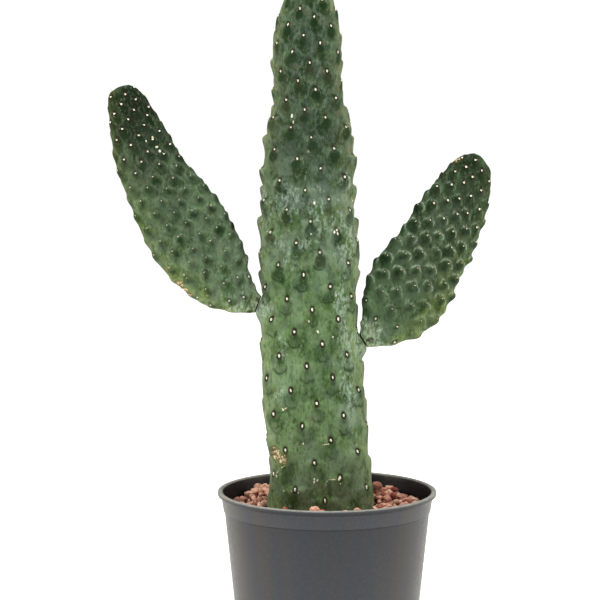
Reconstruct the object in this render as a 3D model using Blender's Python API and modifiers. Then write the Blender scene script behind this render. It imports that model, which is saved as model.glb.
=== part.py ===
"""Potted consolea cactus, modelled at its real size.

Metres, +Z up. The origin is the middle of the pot's underside, on the surface that the pot stands on.
The plant's broad face looks along -Y, and +X is to the right of someone who looks at that face.
The trunk and the two pads are lofts of flattened sections. Their tubercles are raised by one rule: each
follows the last one round the stem by a fixed angle, and a little higher up.
"""

import math
import random

import bmesh
import bpy
from mathutils import Matrix, Vector

GAP = 0.0003

# Pot
POT_HEIGHT = 0.140
POT_SIDES = 32
LIP_RADIUS = 0.085
LIP_WIDTH = 0.0039
LIP_DEPTH = 0.0033
LIP_ROUNDING = 0.0010
COLLAR_TOP_RADIUS = 0.0822
COLLAR_FOOT_RADIUS = 0.0804
COLLAR_FOOT = 0.1245
WALL_TOP_RADIUS = 0.0796
BASE_RADIUS = 0.0668
BASE_CHAMFER = 0.0015
WALL = 0.0020
FLOOR = 0.0045
STEP_BLEND = 0.003
FOOT_RING_INNER = 0.056
CENTRE_DISC = 0.020
RECESS = 0.0025
DRAIN_HOLES = 8
DRAIN_RADIUS = 0.0045
DRAIN_CIRCLE = 0.038
DRAIN_SIDES = 8

# Soil and gravel
SOIL_TOP = 0.110
HEAP_AT_STEM = 0.1335
HEAP_AT_WALL = 0.1290
BED_DEPTH = 0.0055
BED_RINGS = 4
STONE_COUNT = 84
STONE_RADIUS = 0.0080
STONE_FIELD = 0.0674
STONE_SIZE_RANGE = (0.84, 1.0)
STONE_SQUASH = (0.62, 0.80)
STONE_SINK = (0.85, 1.1)
STONE_TILT = 0.35
GRAVEL_SEED = 17
GOLDEN_ANGLE = math.radians(137.508)
HOLE_RINGS = (0.150, 0.142, 0.134, 0.126, 0.118, 0.112)
HOLE_RISE = 0.007
HOLE_GAP = 0.0005
WALL_GAP = 0.0004
HEAP_POWER = 1.5
HEAP_TILT = 0.13
# Middle along X and Y, spread and height of each mound in the heap
MOUNDS = ((0.039, 0.034, 0.011, 0.0050), (-0.047, 0.034, 0.013, 0.0030))

# Spiral rule of the trunk and the pads
TURN_PER_TUBERCLE = math.radians(99.3)
COLUMNS = 11
COLUMN_STEP = -3
COLUMN_TWIST = math.tau / COLUMNS * COLUMN_STEP + TURN_PER_TUBERCLE

# Trunk: height, middle along X, half width, half thickness
TRUNK_SECTIONS = (
    (0.062, -0.0055, 0.0375, 0.0195),
    (0.118, -0.0048, 0.0410, 0.0205),
    (0.135, -0.0050, 0.0410, 0.0210),
    (0.160, -0.0056, 0.0380, 0.0208),
    (0.185, -0.0078, 0.0388, 0.0205),
    (0.215, -0.0106, 0.0388, 0.0200),
    (0.245, -0.0121, 0.0375, 0.0192),
    (0.268, -0.0141, 0.0368, 0.0188),
    (0.296, -0.0140, 0.0357, 0.0184),
    (0.318, -0.0134, 0.0377, 0.0182),
    (0.350, -0.0151, 0.0353, 0.0176),
    (0.375, -0.0144, 0.0340, 0.0170),
    (0.392, -0.0146, 0.0349, 0.0165),
    (0.408, -0.0142, 0.0321, 0.0155),
    (0.422, -0.0143, 0.0315, 0.0145),
    (0.437, -0.0143, 0.0269, 0.0134),
    (0.458, -0.0153, 0.0254, 0.0128),
    (0.475, -0.0159, 0.0260, 0.0125),
    (0.538, -0.0144, 0.0255, 0.0125),
)
TRUNK_FOOT = 0.062
TRUNK_DOME = 0.475
TRUNK_TIP = 0.5365
TRUNK_DOME_POWER = 2.0
TRUNK_SECTION_POWER = 2.5
TRUNK_FIRST_TUBERCLE = 0.129
TRUNK_FIRST_ANGLE = math.radians(202.5)
TRUNK_FIRST_RISE = 0.0027525
TRUNK_RISE_LOSS = 0.000002847
TRUNK_ROW_TILT = 0.064
TRUNK_COLUMN_SPLIT = 4
TRUNK_ROW_STEP = 2.95
TRUNK_DOME_ROWS = 9
TRUNK_DOME_FIRST = 0.6
TRUNK_DOME_CROWDING = 0.9
TRUNK_LOWEST_ROW = 0.122
TRUNK_FOOT_TOP = 0.113
TRUNK_BARE_TIP = 0.004
# Height and how far the tubercles stand out there
TRUNK_RELIEF = (
    (0.120, 0.0),
    (0.150, 0.0018),
    (0.220, 0.0025),
    (0.300, 0.0030),
    (0.345, 0.0041),
    (0.415, 0.0041),
    (0.440, 0.0026),
    (0.500, 0.0020),
    (0.5365, 0.0010),
)
AREOLE_OFFSET = 0.0015
AREOLE_INSET = 0.0005
AREOLE_HEIGHT = 0.0008
AREOLE_FIRST_HEIGHT = 0.140
AREOLE_LAST_HEIGHT = 0.526

# Pads: upper and lower edge as (x, z), from the joint to the tip
LEFT_UPPER_EDGE = (
    (-0.0508, 0.2917),
    (-0.0556, 0.2985),
    (-0.0604, 0.3119),
    (-0.0635, 0.3262),
    (-0.0716, 0.3449),
    (-0.0815, 0.3635),
    (-0.0965, 0.3821),
    (-0.1120, 0.4007),
    (-0.1218, 0.4190),
    (-0.1332, 0.4375),
    (-0.1395, 0.4470),
    (-0.1440, 0.4515),
    (-0.1470, 0.4535),
    (-0.1505, 0.4550),
)
LEFT_LOWER_EDGE = (
    (-0.0553, 0.2792),
    (-0.0645, 0.2791),
    (-0.0833, 0.2825),
    (-0.1001, 0.2897),
    (-0.1221, 0.3088),
    (-0.1393, 0.3368),
    (-0.1504, 0.3646),
    (-0.1600, 0.3922),
    (-0.1645, 0.4196),
    (-0.1662, 0.4400),
    (-0.1650, 0.4480),
    (-0.1605, 0.4525),
    (-0.1560, 0.4543),
    (-0.1505, 0.4550),
)
LEFT_TURN = math.radians(-8)
LEFT_BEND = -0.25
LEFT_FIRST_ANGLE = math.radians(40)
RIGHT_UPPER_EDGE = (
    (0.0248, 0.2628),
    (0.0266, 0.2702),
    (0.0275, 0.2842),
    (0.0303, 0.3027),
    (0.0391, 0.3212),
    (0.0553, 0.3394),
    (0.0676, 0.3578),
    (0.0807, 0.3760),
    (0.0916, 0.3885),
    (0.0985, 0.3957),
    (0.1050, 0.3990),
    (0.1093, 0.4003),
    (0.1135, 0.4010),
)
RIGHT_LOWER_EDGE = (
    (0.0307, 0.2519),
    (0.0424, 0.2529),
    (0.0610, 0.2568),
    (0.0798, 0.2666),
    (0.0937, 0.2841),
    (0.1029, 0.3050),
    (0.1130, 0.3242),
    (0.1192, 0.3428),
    (0.1248, 0.3640),
    (0.1262, 0.3820),
    (0.1240, 0.3900),
    (0.1190, 0.3980),
    (0.1135, 0.4010),
)
RIGHT_TURN = math.radians(10)
RIGHT_BEND = 0.30
RIGHT_FIRST_ANGLE = math.radians(100)
PAD_EDGES = {
    "left": (LEFT_UPPER_EDGE, LEFT_LOWER_EDGE),
    "right": (RIGHT_UPPER_EDGE, RIGHT_LOWER_EDGE),
}
PAD_HALF_THICKNESS = 0.0072
PAD_FULL_WIDTH = 0.024
PAD_SECTION_POWER = 2.3
PAD_AREA_PER_TUBERCLE = 0.000160
PAD_RELIEF = 0.0024
PAD_COLUMN_SPLIT = 2
PAD_ROW_STEP = 3.3
PAD_SAMPLES = 240
PAD_NECK_SHARE = 0.12
PAD_BARE_JOINT = 0.019
PAD_BARE_TIP = 0.02
PAD_TIP_ROWS = (0.25, 1.2, 3.0)
PAD_FIRST_ROW = 1.5
PAD_LEAST_GIRTH = 0.02

# Form of one tubercle: length of its step and of its slope, and its half width, as shares of the spacing
TRUNK_FORM = (0.13, 0.95, 0.78)
PAD_FORM = (0.15, 0.85, 0.60)
SLOPE_POWER = 1.6
CROWN_POWER = 1.5
STEP_ROWS = 1.3
SHOULDER_DROP = 0.25
SNAP_REACH = 0.55

# Stubs of the trunk that carry the pads
STUB_RADIUS = 0.0060
STUB_ROOT_RADIUS = 0.0085
STUB_LENGTH = 0.012
STUB_SIDES = 12
STUB_CLEAR = 0.014
JOINT_DEPTH = 0.0049

SECTION_SAMPLES = 24
NORMAL_STEP = 0.0005
TINY = 1e-12
SHARP_ANGLE = math.radians(50)

# Name, colour, roughness
FINISHES = {
    "pot": ((0.098, 0.102, 0.105), 0.55),
    "soil": ((0.045, 0.030, 0.020), 0.95),
    "gravel": ((0.420, 0.165, 0.115), 0.85),
    "trunk": ((0.110, 0.205, 0.095), 0.60),
    "pad_left": ((0.075, 0.150, 0.055), 0.55),
    "pad_right": ((0.085, 0.160, 0.065), 0.55),
}


def clear_scene():
    """Removes every object of the open file."""
    for item in list(bpy.data.objects):
        bpy.data.objects.remove(item)


def new_collection(name):
    """Makes a collection in the scene."""
    group = bpy.data.collections.new(name)
    bpy.context.scene.collection.children.link(group)
    return group


def finish(name):
    """Material of one sub-part."""
    colour, roughness = FINISHES[name]
    material = bpy.data.materials.new(name)
    material.use_nodes = True
    shader = material.node_tree.nodes["Principled BSDF"]
    shader.inputs["Base Color"].default_value = (*colour, 1.0)
    shader.inputs["Roughness"].default_value = roughness
    shader.inputs["Metallic"].default_value = 0.0
    material.diffuse_color = (*colour, 1.0)
    return material


def add_object(name, mesh, group, dressed=True):
    """Puts a mesh in a collection as a named object."""
    item = bpy.data.objects.new(name, mesh)
    if dressed:
        mesh.materials.append(finish(name))
    group.objects.link(item)
    return item


def mesh_from(bm, name):
    """Turns a bmesh into a mesh of triangles."""
    bmesh.ops.triangulate(bm, faces=bm.faces[:], quad_method="BEAUTY", ngon_method="BEAUTY")
    mesh = bpy.data.meshes.new(name)
    bm.to_mesh(mesh)
    bm.free()
    return mesh


def mark_cutter(item):
    """Keeps a cutter out of the model."""
    item.hide_render = True
    item.display_type = "WIRE"


def bake(item):
    """Applies an object's modifiers."""
    graph = bpy.context.evaluated_depsgraph_get()
    mesh = bpy.data.meshes.new_from_object(item.evaluated_get(graph))
    item.modifiers.clear()
    item.data = mesh


def shade(item):
    """Smooth shading, with sharp edges kept."""
    item.data.shade_smooth()
    item.data.set_sharp_from_angle(angle=SHARP_ANGLE)


def turned(name, profile, group):
    """Solid of revolution from (radius, height) points, given down its outer side."""
    bm = bmesh.new()
    points = [bm.verts.new((radius, 0.0, height)) for radius, height in profile]
    for first, second in zip(points, points[1:]):
        bm.edges.new((first, second))
    mesh = bpy.data.meshes.new(name)
    bm.to_mesh(mesh)
    bm.free()
    item = add_object(name, mesh, group)
    screw = item.modifiers.new("Turn", "SCREW")
    screw.axis = "Z"
    screw.angle = math.tau
    screw.steps = POT_SIDES
    screw.render_steps = POT_SIDES
    screw.use_merge_vertices = True
    screw.merge_threshold = 0.00001
    return item


def join_collection(item, tools):
    """Unites an object with everything in a collection, then removes what the collection held."""
    union = item.modifiers.new("Unite", "BOOLEAN")
    union.operation = "UNION"
    union.operand_type = "COLLECTION"
    union.collection = tools
    union.solver = "MANIFOLD"
    bake(item)
    for tool in list(tools.objects):
        bpy.data.objects.remove(tool)
    bpy.data.collections.remove(tools)


def cut(item, cutter):
    """Takes a cutter's volume out of an object."""
    difference = item.modifiers.new("Cut", "BOOLEAN")
    difference.operation = "DIFFERENCE"
    difference.object = cutter


def wall_radius(height):
    """Outer radius of the pot's plain wall."""
    return BASE_RADIUS + (WALL_TOP_RADIUS - BASE_RADIUS) * height / COLLAR_FOOT


def smooth_step(low, high, value):
    """Rises from 0 at low to 1 at high, level at both ends."""
    share = min(max((value - low) / (high - low), 0.0), 1.0)
    return share * share * (3.0 - 2.0 * share)


def follow(table, value):
    """Reads a smooth curve through the rows of a table at a value of their first column."""
    last = len(table) - 2
    row = 0
    while row < last and value > table[row + 1][0]:
        row += 1
    before = table[max(row - 1, 0)]
    start = table[row]
    end = table[row + 1]
    after = table[min(row + 2, len(table) - 1)]
    span = end[0] - start[0]
    share = min(max((value - start[0]) / span, 0.0), 1.0)
    square = share * share
    cube = square * share
    result = []
    for column in range(1, len(start)):
        slope_start = (end[column] - before[column]) / (end[0] - before[0]) * span
        slope_end = (after[column] - start[column]) / (after[0] - start[0]) * span
        result.append(
            (2 * cube - 3 * square + 1) * start[column]
            + (cube - 2 * square + share) * slope_start
            + (3 * square - 2 * cube) * end[column]
            + (cube - square) * slope_end
        )
    return result


def section_point(angle, half_width, half_depth, power):
    """Point and girth of a flattened section.

    The angle is a share of the girth in radians, from the broad front face round by +X, so that equal
    angles lie equally far apart on the skin.
    """
    lengths = [0.0]
    points = []
    for step in range(SECTION_SAMPLES + 1):
        turn = math.pi / 2 * step / SECTION_SAMPLES
        across = half_width * max(math.sin(turn), 0.0) ** (2 / power)
        out = half_depth * max(math.cos(turn), 0.0) ** (2 / power)
        points.append((across, out))
        if step:
            lengths.append(lengths[-1] + math.dist(points[-2], points[-1]))
    quarters = (angle / math.tau % 1.0) * 4
    quarter = min(int(quarters), 3)
    part = quarters - quarter if quarter % 2 == 0 else 1.0 - (quarters - quarter)
    target = part * lengths[-1]
    step = 1
    while step < SECTION_SAMPLES and lengths[step] < target:
        step += 1
    share = (target - lengths[step - 1]) / max(lengths[step] - lengths[step - 1], TINY)
    across = points[step - 1][0] + share * (points[step][0] - points[step - 1][0])
    out = points[step - 1][1] + share * (points[step][1] - points[step - 1][1])
    if quarter >= 2:
        across = -across
    if quarter in (0, 3):
        out = -out
    return across, out, 4 * lengths[-1]


class Trunk:
    """The upright stem. A place on it is an angle and a tubercle number, which need not be whole."""

    def __init__(self):
        self.split = TRUNK_COLUMN_SPLIT
        self.form = TRUNK_FORM
        self.step_reach = 1
        self.first_angle = TRUNK_FIRST_ANGLE
        self.count = int(self.number_at(TRUNK_TIP - TRUNK_BARE_TIP))

    def height(self, number):
        """Height of a tubercle number."""
        return TRUNK_FIRST_TUBERCLE + TRUNK_FIRST_RISE * number - TRUNK_RISE_LOSS * number * number

    def number_at(self, height):
        """Tubercle number at a height."""
        climb = height - TRUNK_FIRST_TUBERCLE
        root = math.sqrt(TRUNK_FIRST_RISE ** 2 - 4 * TRUNK_RISE_LOSS * climb)
        return (TRUNK_FIRST_RISE - root) / (2 * TRUNK_RISE_LOSS)

    def section(self, height):
        """Middle, half width and half thickness at a height."""
        middle, half_width, half_depth = follow(TRUNK_SECTIONS, height)
        if height > TRUNK_DOME:
            share = min((height - TRUNK_DOME) / (TRUNK_TIP - TRUNK_DOME), 1.0)
            dome = max(1.0 - share ** TRUNK_DOME_POWER, 0.0) ** (1 / TRUNK_DOME_POWER)
            half_width *= dome
            half_depth *= dome
        return middle, half_width, half_depth

    def place(self, angle, number):
        """Point on the plain skin and the girth there."""
        height = self.height(number)
        middle, half_width, half_depth = self.section(height)
        across, out, girth = section_point(angle, half_width, half_depth, TRUNK_SECTION_POWER)
        tilt = TRUNK_ROW_TILT * smooth_step(TRUNK_FOOT, TRUNK_FIRST_TUBERCLE, height) * across
        tilt *= 1.0 - smooth_step(TRUNK_DOME, TRUNK_TIP, height)
        return Vector((middle + across, out, height + tilt)), girth

    def rise(self, number):
        """How far apart two tubercles of one column are, per number."""
        return TRUNK_FIRST_RISE - 2 * TRUNK_RISE_LOSS * number

    def relief(self, number, point):
        """How far the tubercles stand out, which is nothing at the pads' joints."""
        amount = follow(TRUNK_RELIEF, self.height(number))[0]
        for edges in PAD_EDGES.values():
            away = (point - joint_frame(*edges)[0]).length
            amount *= smooth_step(STUB_RADIUS, STUB_CLEAR, away)
        return max(amount, 0.0)

    def rows(self):
        """Tubercle numbers of the mesh's rings, from the tip down to the foot."""
        heights = []
        for ring in range(TRUNK_DOME_ROWS):
            turn = math.pi / 2 * (ring + TRUNK_DOME_FIRST) / TRUNK_DOME_ROWS
            heights.append(TRUNK_DOME + (TRUNK_TIP - TRUNK_DOME) * math.cos(turn) ** TRUNK_DOME_CROWDING)
        numbers = [self.number_at(height) for height in heights]
        lowest = self.number_at(TRUNK_LOWEST_ROW)
        number = self.number_at(TRUNK_DOME)
        while number > lowest:
            numbers.append(number)
            number -= TRUNK_ROW_STEP
        return numbers + [self.number_at(TRUNK_FOOT_TOP), self.number_at(TRUNK_FOOT)]

    def ends(self):
        """The points that close the tip and the foot."""
        tip = Vector((self.section(TRUNK_TIP)[0], 0.0, TRUNK_TIP))
        foot = Vector((self.section(TRUNK_FOOT)[0], 0.0, TRUNK_FOOT))
        return tip, foot


def joint_frame(upper, lower):
    """Middle of a pad's joint and the direction in which the pad leaves the trunk."""
    top = Vector((upper[0][0], 0.0, upper[0][1]))
    bottom = Vector((lower[0][0], 0.0, lower[0][1]))
    up = (top - bottom).normalized()
    outward = Vector((up.z, 0.0, -up.x))
    if outward.x * (upper[-1][0] - top.x) < 0:
        outward = -outward
    return (top + bottom) / 2, outward


class Pad:
    """A flat side shoot between two edges. A place on it is an angle and a tubercle number."""

    def __init__(self, upper, lower, turn, bend, first_angle):
        self.split = PAD_COLUMN_SPLIT
        self.form = PAD_FORM
        self.step_reach = 0
        self.first_angle = first_angle
        self.turn = math.tan(turn)
        self.bend = bend
        last = len(upper) - 1
        self.upper = [(row / last, *point) for row, point in enumerate(upper)]
        self.lower = [(row / last, *point) for row, point in enumerate(lower)]
        self.joint = joint_frame(upper, lower)[0]
        self.side = 1.0 if upper[-1][0] > upper[0][0] else -1.0
        self.numbers = [0.0]
        self.lengths = [0.0]
        before = self.frame(0.0)
        for sample in range(1, PAD_SAMPLES + 1):
            now = self.frame(sample / PAD_SAMPLES)
            step = (now[0] - before[0]).length
            girth = section_point(0.0, now[2], now[3], PAD_SECTION_POWER)[2]
            self.lengths.append(self.lengths[-1] + step)
            self.numbers.append(self.numbers[-1] + girth * step / PAD_AREA_PER_TUBERCLE)
            before = now
        self.count = int(self.numbers[-1] - PAD_TIP_ROWS[0])

    def frame(self, share):
        """Middle, across direction, half width and half thickness of a section."""
        upper = follow(self.upper, share)
        lower = follow(self.lower, share)
        ends = []
        for across, height in (upper, lower):
            away = abs(across - self.joint.x)
            depth = self.turn * (across - self.joint.x) * self.side + self.bend * away * away
            ends.append(Vector((across, depth, height)))
        half = (ends[0] - ends[1]) / 2
        width = max(half.length, TINY)
        taper = 1.0 - min(width / PAD_FULL_WIDTH, 1.0)
        thickness = PAD_HALF_THICKNESS * math.sqrt(1.0 - taper * taper)
        return (ends[0] + ends[1]) / 2, half / width, width, thickness

    def share_at(self, number):
        """Share of the way to the tip at a tubercle number."""
        number = min(max(number, 0.0), self.numbers[-1])
        step = 1
        while step < PAD_SAMPLES and self.numbers[step] < number:
            step += 1
        span = self.numbers[step] - self.numbers[step - 1]
        part = (number - self.numbers[step - 1]) / max(span, TINY)
        return (step - 1 + part) / PAD_SAMPLES

    def place(self, angle, number):
        """Point on the plain skin and the girth there."""
        share = self.share_at(number)
        middle, across, half_width, half_depth = self.frame(share)
        right, out, girth = section_point(angle, half_width, half_depth, PAD_SECTION_POWER)
        turned_by = self.turn * self.side * smooth_step(0.0, PAD_NECK_SHARE, share)
        facing = Vector((-turned_by, 1.0, 0.0)).normalized()
        return middle - across * (right * self.side) + facing * out, girth

    def rise(self, number):
        """How far apart two tubercles of one column are, per number."""
        girth = self.place(0.0, number)[1]
        return PAD_AREA_PER_TUBERCLE / max(girth, PAD_LEAST_GIRTH)

    def relief(self, number, point):
        """How far the tubercles stand out, which is nothing at the joint."""
        away = (point - self.joint).length
        left = (self.numbers[-1] - number) / self.numbers[-1]
        near_joint = smooth_step(JOINT_DEPTH, PAD_BARE_JOINT, away)
        return PAD_RELIEF * near_joint * smooth_step(0.0, PAD_BARE_TIP, left)

    def rows(self):
        """Tubercle numbers of the mesh's rings, from the tip down to the joint."""
        numbers = [self.numbers[-1] - below_tip for below_tip in PAD_TIP_ROWS]
        number = numbers[-1] - PAD_ROW_STEP
        while number > PAD_FIRST_ROW:
            numbers.append(number)
            number -= PAD_ROW_STEP
        return numbers + [0.0]

    def ends(self):
        """The points that close the tip and the joint's face."""
        tip = self.frame(1.0)[0]
        return tip, self.joint.copy()


def nearby(limb, number, reach):
    """Whole tubercle numbers round a place."""
    first = max(int(number - reach), 0)
    last = min(int(number + reach) + 1, limb.count)
    return range(first, last + 1)


def tubercle_angle(limb, number):
    """Angle of a tubercle."""
    return limb.first_angle - TURN_PER_TUBERCLE * number


def raised(limb, angle, number):
    """Point on the skin with the tubercles raised."""
    point, girth = limb.place(angle, number)
    amount = limb.relief(number, point)
    if amount <= 0.0:
        return point
    step, slope, width = limb.form
    best = 0.0
    for other in nearby(limb, number, COLUMNS):
        turn = (angle - tubercle_angle(limb, other) + math.pi) % math.tau - math.pi
        across = abs(turn) / math.tau * COLUMNS / width
        if across >= 1.0:
            continue
        along = (number - other) / COLUMNS
        if along > 0:
            form = 1.0 - smooth_step(0.0, step, along)
        else:
            form = max(1.0 - (-along / slope) ** SLOPE_POWER, 0.0)
        best = max(best, form * math.cos(across * math.pi / 2) ** CROWN_POWER)
    around = limb.place(angle + NORMAL_STEP * math.tau / girth, number)[0] - point
    upward = limb.place(angle, number + NORMAL_STEP / limb.rise(number))[0] - point
    normal = around.cross(upward)
    if normal.length < TINY:
        return point
    return point + normal.normalized() * (amount * best)


def limb_mesh(limb, name, cushions):
    """Loft of a stem or pad. The rings come from a sphere's, so the ends are closed by its poles."""
    columns = COLUMNS * limb.split
    numbers = limb.rows()
    rings = len(numbers)
    grid = [[number] * columns for number in numbers]
    crests = {}
    for tubercle in range(limb.count + 1):
        column = tubercle * COLUMN_STEP * limb.split % columns
        ring = min(range(1, rings - 1), key=lambda r: abs(numbers[r] - tubercle))
        if abs(numbers[ring] - tubercle) > abs(numbers[ring - 1] - numbers[ring]) * SNAP_REACH:
            continue
        grid[ring][column] = float(tubercle)
        crests[(ring, column)] = tubercle
        for side in range(-limb.step_reach, limb.step_reach + 1):
            grid[ring][(column + side) % columns] = tubercle - SHOULDER_DROP * abs(side)
            grid[ring - 1][(column + side) % columns] = tubercle + STEP_ROWS
    bm = bmesh.new()
    bmesh.ops.create_uvsphere(bm, u_segments=columns, v_segments=rings + 1, radius=1.0)
    tip, foot = limb.ends()
    chosen = []
    for vert in bm.verts:
        ring = round(math.acos(min(max(vert.co.z, -1.0), 1.0)) / math.pi * (rings + 1))
        if ring == 0:
            vert.co = tip
        elif ring == rings + 1:
            vert.co = foot
        else:
            column = round(math.atan2(vert.co.y, vert.co.x) / math.tau * columns) % columns
            number = grid[ring - 1][column]
            angle = limb.first_angle + column / columns * math.tau - COLUMN_TWIST * number
            if (ring - 1, column) in crests:
                chosen.append(vert)
            vert.co = raised(limb, angle, number)
    if cushions:
        add_cushions(bm, [vert for vert in chosen if AREOLE_FIRST_HEIGHT < vert.co.z < AREOLE_LAST_HEIGHT])
    bmesh.ops.recalc_face_normals(bm, faces=bm.faces[:])
    return mesh_from(bm, name)


def add_cushions(bm, verts):
    """Raises a small felted cushion where each tubercle is highest."""
    cut_off = bmesh.ops.bevel(
        bm,
        geom=verts,
        offset=AREOLE_OFFSET,
        offset_type="OFFSET",
        segments=1,
        profile=0.5,
        affect="VERTICES",
        material=-1,
    )
    bmesh.ops.inset_individual(bm, faces=cut_off["faces"], thickness=AREOLE_INSET, depth=AREOLE_HEIGHT)


def build_pot(group, cutters):
    """Thin-walled nursery pot with a rolled lip, a collar, a raised underside and drain holes."""
    lip_foot = POT_HEIGHT - LIP_DEPTH
    profile = (
        (0.0, FLOOR),
        (wall_radius(FLOOR) - WALL, FLOOR),
        (WALL_TOP_RADIUS - WALL, COLLAR_FOOT),
        (COLLAR_FOOT_RADIUS - WALL, COLLAR_FOOT + STEP_BLEND),
        (COLLAR_TOP_RADIUS - WALL, lip_foot),
        (LIP_RADIUS - LIP_WIDTH, POT_HEIGHT - LIP_ROUNDING),
        (LIP_RADIUS - LIP_WIDTH + LIP_ROUNDING, POT_HEIGHT),
        (LIP_RADIUS - LIP_ROUNDING, POT_HEIGHT),
        (LIP_RADIUS, POT_HEIGHT - LIP_ROUNDING),
        (LIP_RADIUS, lip_foot + LIP_ROUNDING),
        (LIP_RADIUS - LIP_ROUNDING, lip_foot),
        (COLLAR_TOP_RADIUS, lip_foot),
        (COLLAR_FOOT_RADIUS, COLLAR_FOOT),
        (WALL_TOP_RADIUS, COLLAR_FOOT),
        (wall_radius(BASE_CHAMFER), BASE_CHAMFER),
        (BASE_RADIUS - BASE_CHAMFER, 0.0),
        (FOOT_RING_INNER, 0.0),
        (FOOT_RING_INNER, RECESS),
        (CENTRE_DISC, RECESS),
        (CENTRE_DISC, 0.0),
        (0.0, 0.0),
    )
    pot = turned("pot", profile, group)
    bm = bmesh.new()
    for hole in range(DRAIN_HOLES):
        turn = Matrix.Rotation(math.tau * hole / DRAIN_HOLES, 4, "Z")
        place = turn @ Matrix.Translation((DRAIN_CIRCLE, 0.0, FLOOR / 2))
        bmesh.ops.create_cone(
            bm,
            cap_ends=True,
            segments=DRAIN_SIDES,
            radius1=DRAIN_RADIUS,
            radius2=DRAIN_RADIUS,
            depth=FLOOR * 2,
            matrix=place,
        )
    drill = add_object("drain_cutter", mesh_from(bm, "drain_cutter"), cutters, dressed=False)
    mark_cutter(drill)
    cut(pot, drill)
    return pot


def stem_hole(trunk, cutters):
    """Plain hole for the trunk's foot, wide enough for what the tubercles add near the ground."""
    heights = [*HOLE_RINGS, TRUNK_FOOT - GAP]
    columns = COLUMNS * TRUNK_COLUMN_SPLIT
    bm = bmesh.new()
    bmesh.ops.create_uvsphere(bm, u_segments=columns, v_segments=len(heights) + 1, radius=1.0)
    for vert in bm.verts:
        ring = round(math.acos(min(max(vert.co.z, -1.0), 1.0)) / math.pi * (len(heights) + 1))
        height = heights[min(max(ring - 1, 0), len(heights) - 1)]
        middle, half_width, half_depth = trunk.section(max(height, TRUNK_FOOT))
        if ring in (0, len(heights) + 1):
            vert.co = (middle, 0.0, height)
            continue
        room = HOLE_GAP + max(follow(TRUNK_RELIEF, height + HOLE_RISE)[0], 0.0)
        angle = math.atan2(vert.co.y, vert.co.x)
        across, out, _ = section_point(angle, half_width + room, half_depth + room, TRUNK_SECTION_POWER)
        vert.co = (middle + across, out, height)
    bmesh.ops.recalc_face_normals(bm, faces=bm.faces[:])
    hole = add_object("stem_cutter", mesh_from(bm, "stem_cutter"), cutters, dressed=False)
    mark_cutter(hole)
    return hole


def build_soil(group, hole):
    """Filling of the pot below the gravel, with the hole that the trunk stands in."""
    floor = FLOOR + GAP
    soil = turned(
        "soil",
        (
            (0.0, SOIL_TOP),
            (wall_radius(SOIL_TOP) - WALL - WALL_GAP, SOIL_TOP),
            (wall_radius(floor) - WALL - WALL_GAP, floor),
            (0.0, floor),
        ),
        group,
    )
    cut(soil, hole)
    return soil


def heap_height(x, y):
    """Height of the gravel's top: it falls from the stem to the wall, rises to the back and has two mounds."""
    share = min(math.hypot(x, y) / STONE_FIELD, 1.0)
    height = HEAP_AT_STEM + (HEAP_AT_WALL - HEAP_AT_STEM) * share ** HEAP_POWER + HEAP_TILT * y
    for middle_x, middle_y, spread, rise in MOUNDS:
        offset = math.hypot(x - middle_x, y - middle_y)
        height += rise * math.exp(-((offset / spread) ** 2))
    return height


def build_gravel(group, hole):
    """Bed of lava gravel: stones set on a heaped layer, on an evenly filled spiral."""
    floor = SOIL_TOP + GAP
    edge = wall_radius(floor) - WALL - WALL_GAP
    profile = [(edge * ring / BED_RINGS, HEAP_AT_STEM) for ring in range(BED_RINGS + 1)]
    profile.append((edge, floor))
    profile.append((0.0, floor))
    gravel = turned("gravel", profile, group)
    bake(gravel)
    for vert in gravel.data.vertices:
        if vert.co.z > floor + BED_DEPTH:
            vert.co.z = heap_height(vert.co.x, vert.co.y) - BED_DEPTH
    draw = random.Random(GRAVEL_SEED)
    stones = new_collection("stones")
    for number in range(STONE_COUNT):
        radius = STONE_FIELD * math.sqrt((number + 0.5) / STONE_COUNT)
        angle = number * GOLDEN_ANGLE
        size = STONE_RADIUS * draw.uniform(*STONE_SIZE_RANGE)
        squash = draw.uniform(*STONE_SQUASH)
        tilt = Matrix.Rotation(draw.uniform(-STONE_TILT, STONE_TILT), 4, "X")
        spin = Matrix.Rotation(draw.uniform(0, math.tau), 4, "Z")
        sink = draw.uniform(*STONE_SINK) * size * squash
        x = radius * math.cos(angle)
        y = radius * math.sin(angle)
        centre = Vector((x, y, heap_height(x, y) - sink))
        bm = bmesh.new()
        shape = Matrix.Translation(centre) @ tilt @ Matrix.Diagonal((1.0, 1.0, squash, 1.0)) @ spin
        bmesh.ops.create_icosphere(bm, subdivisions=1, radius=size, matrix=shape)
        add_object(f"stone_{number}", mesh_from(bm, f"stone_{number}"), stones, dressed=False)
    join_collection(gravel, stones)
    cut(gravel, hole)
    return gravel


def build_trunk(trunk, group):
    """Trunk with a short stub for each pad."""
    item = add_object("trunk", limb_mesh(trunk, "trunk", cushions=True), group)
    stubs = new_collection("stubs")
    for side, edges in PAD_EDGES.items():
        middle, outward = joint_frame(*edges)
        end = middle - outward * GAP
        turn = outward.to_track_quat("Z", "Y").to_matrix().to_4x4()
        flatten = Matrix.Diagonal((JOINT_DEPTH / STUB_RADIUS, 1.0, 1.0, 1.0))
        bm = bmesh.new()
        bmesh.ops.create_cone(
            bm,
            cap_ends=True,
            segments=STUB_SIDES,
            radius1=STUB_ROOT_RADIUS,
            radius2=STUB_RADIUS,
            depth=STUB_LENGTH,
            matrix=Matrix.Translation(end - outward * STUB_LENGTH / 2) @ turn @ flatten,
        )
        name = f"stub_{side}"
        add_object(name, mesh_from(bm, name), stubs, dressed=False)
    join_collection(item, stubs)
    return item


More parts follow.
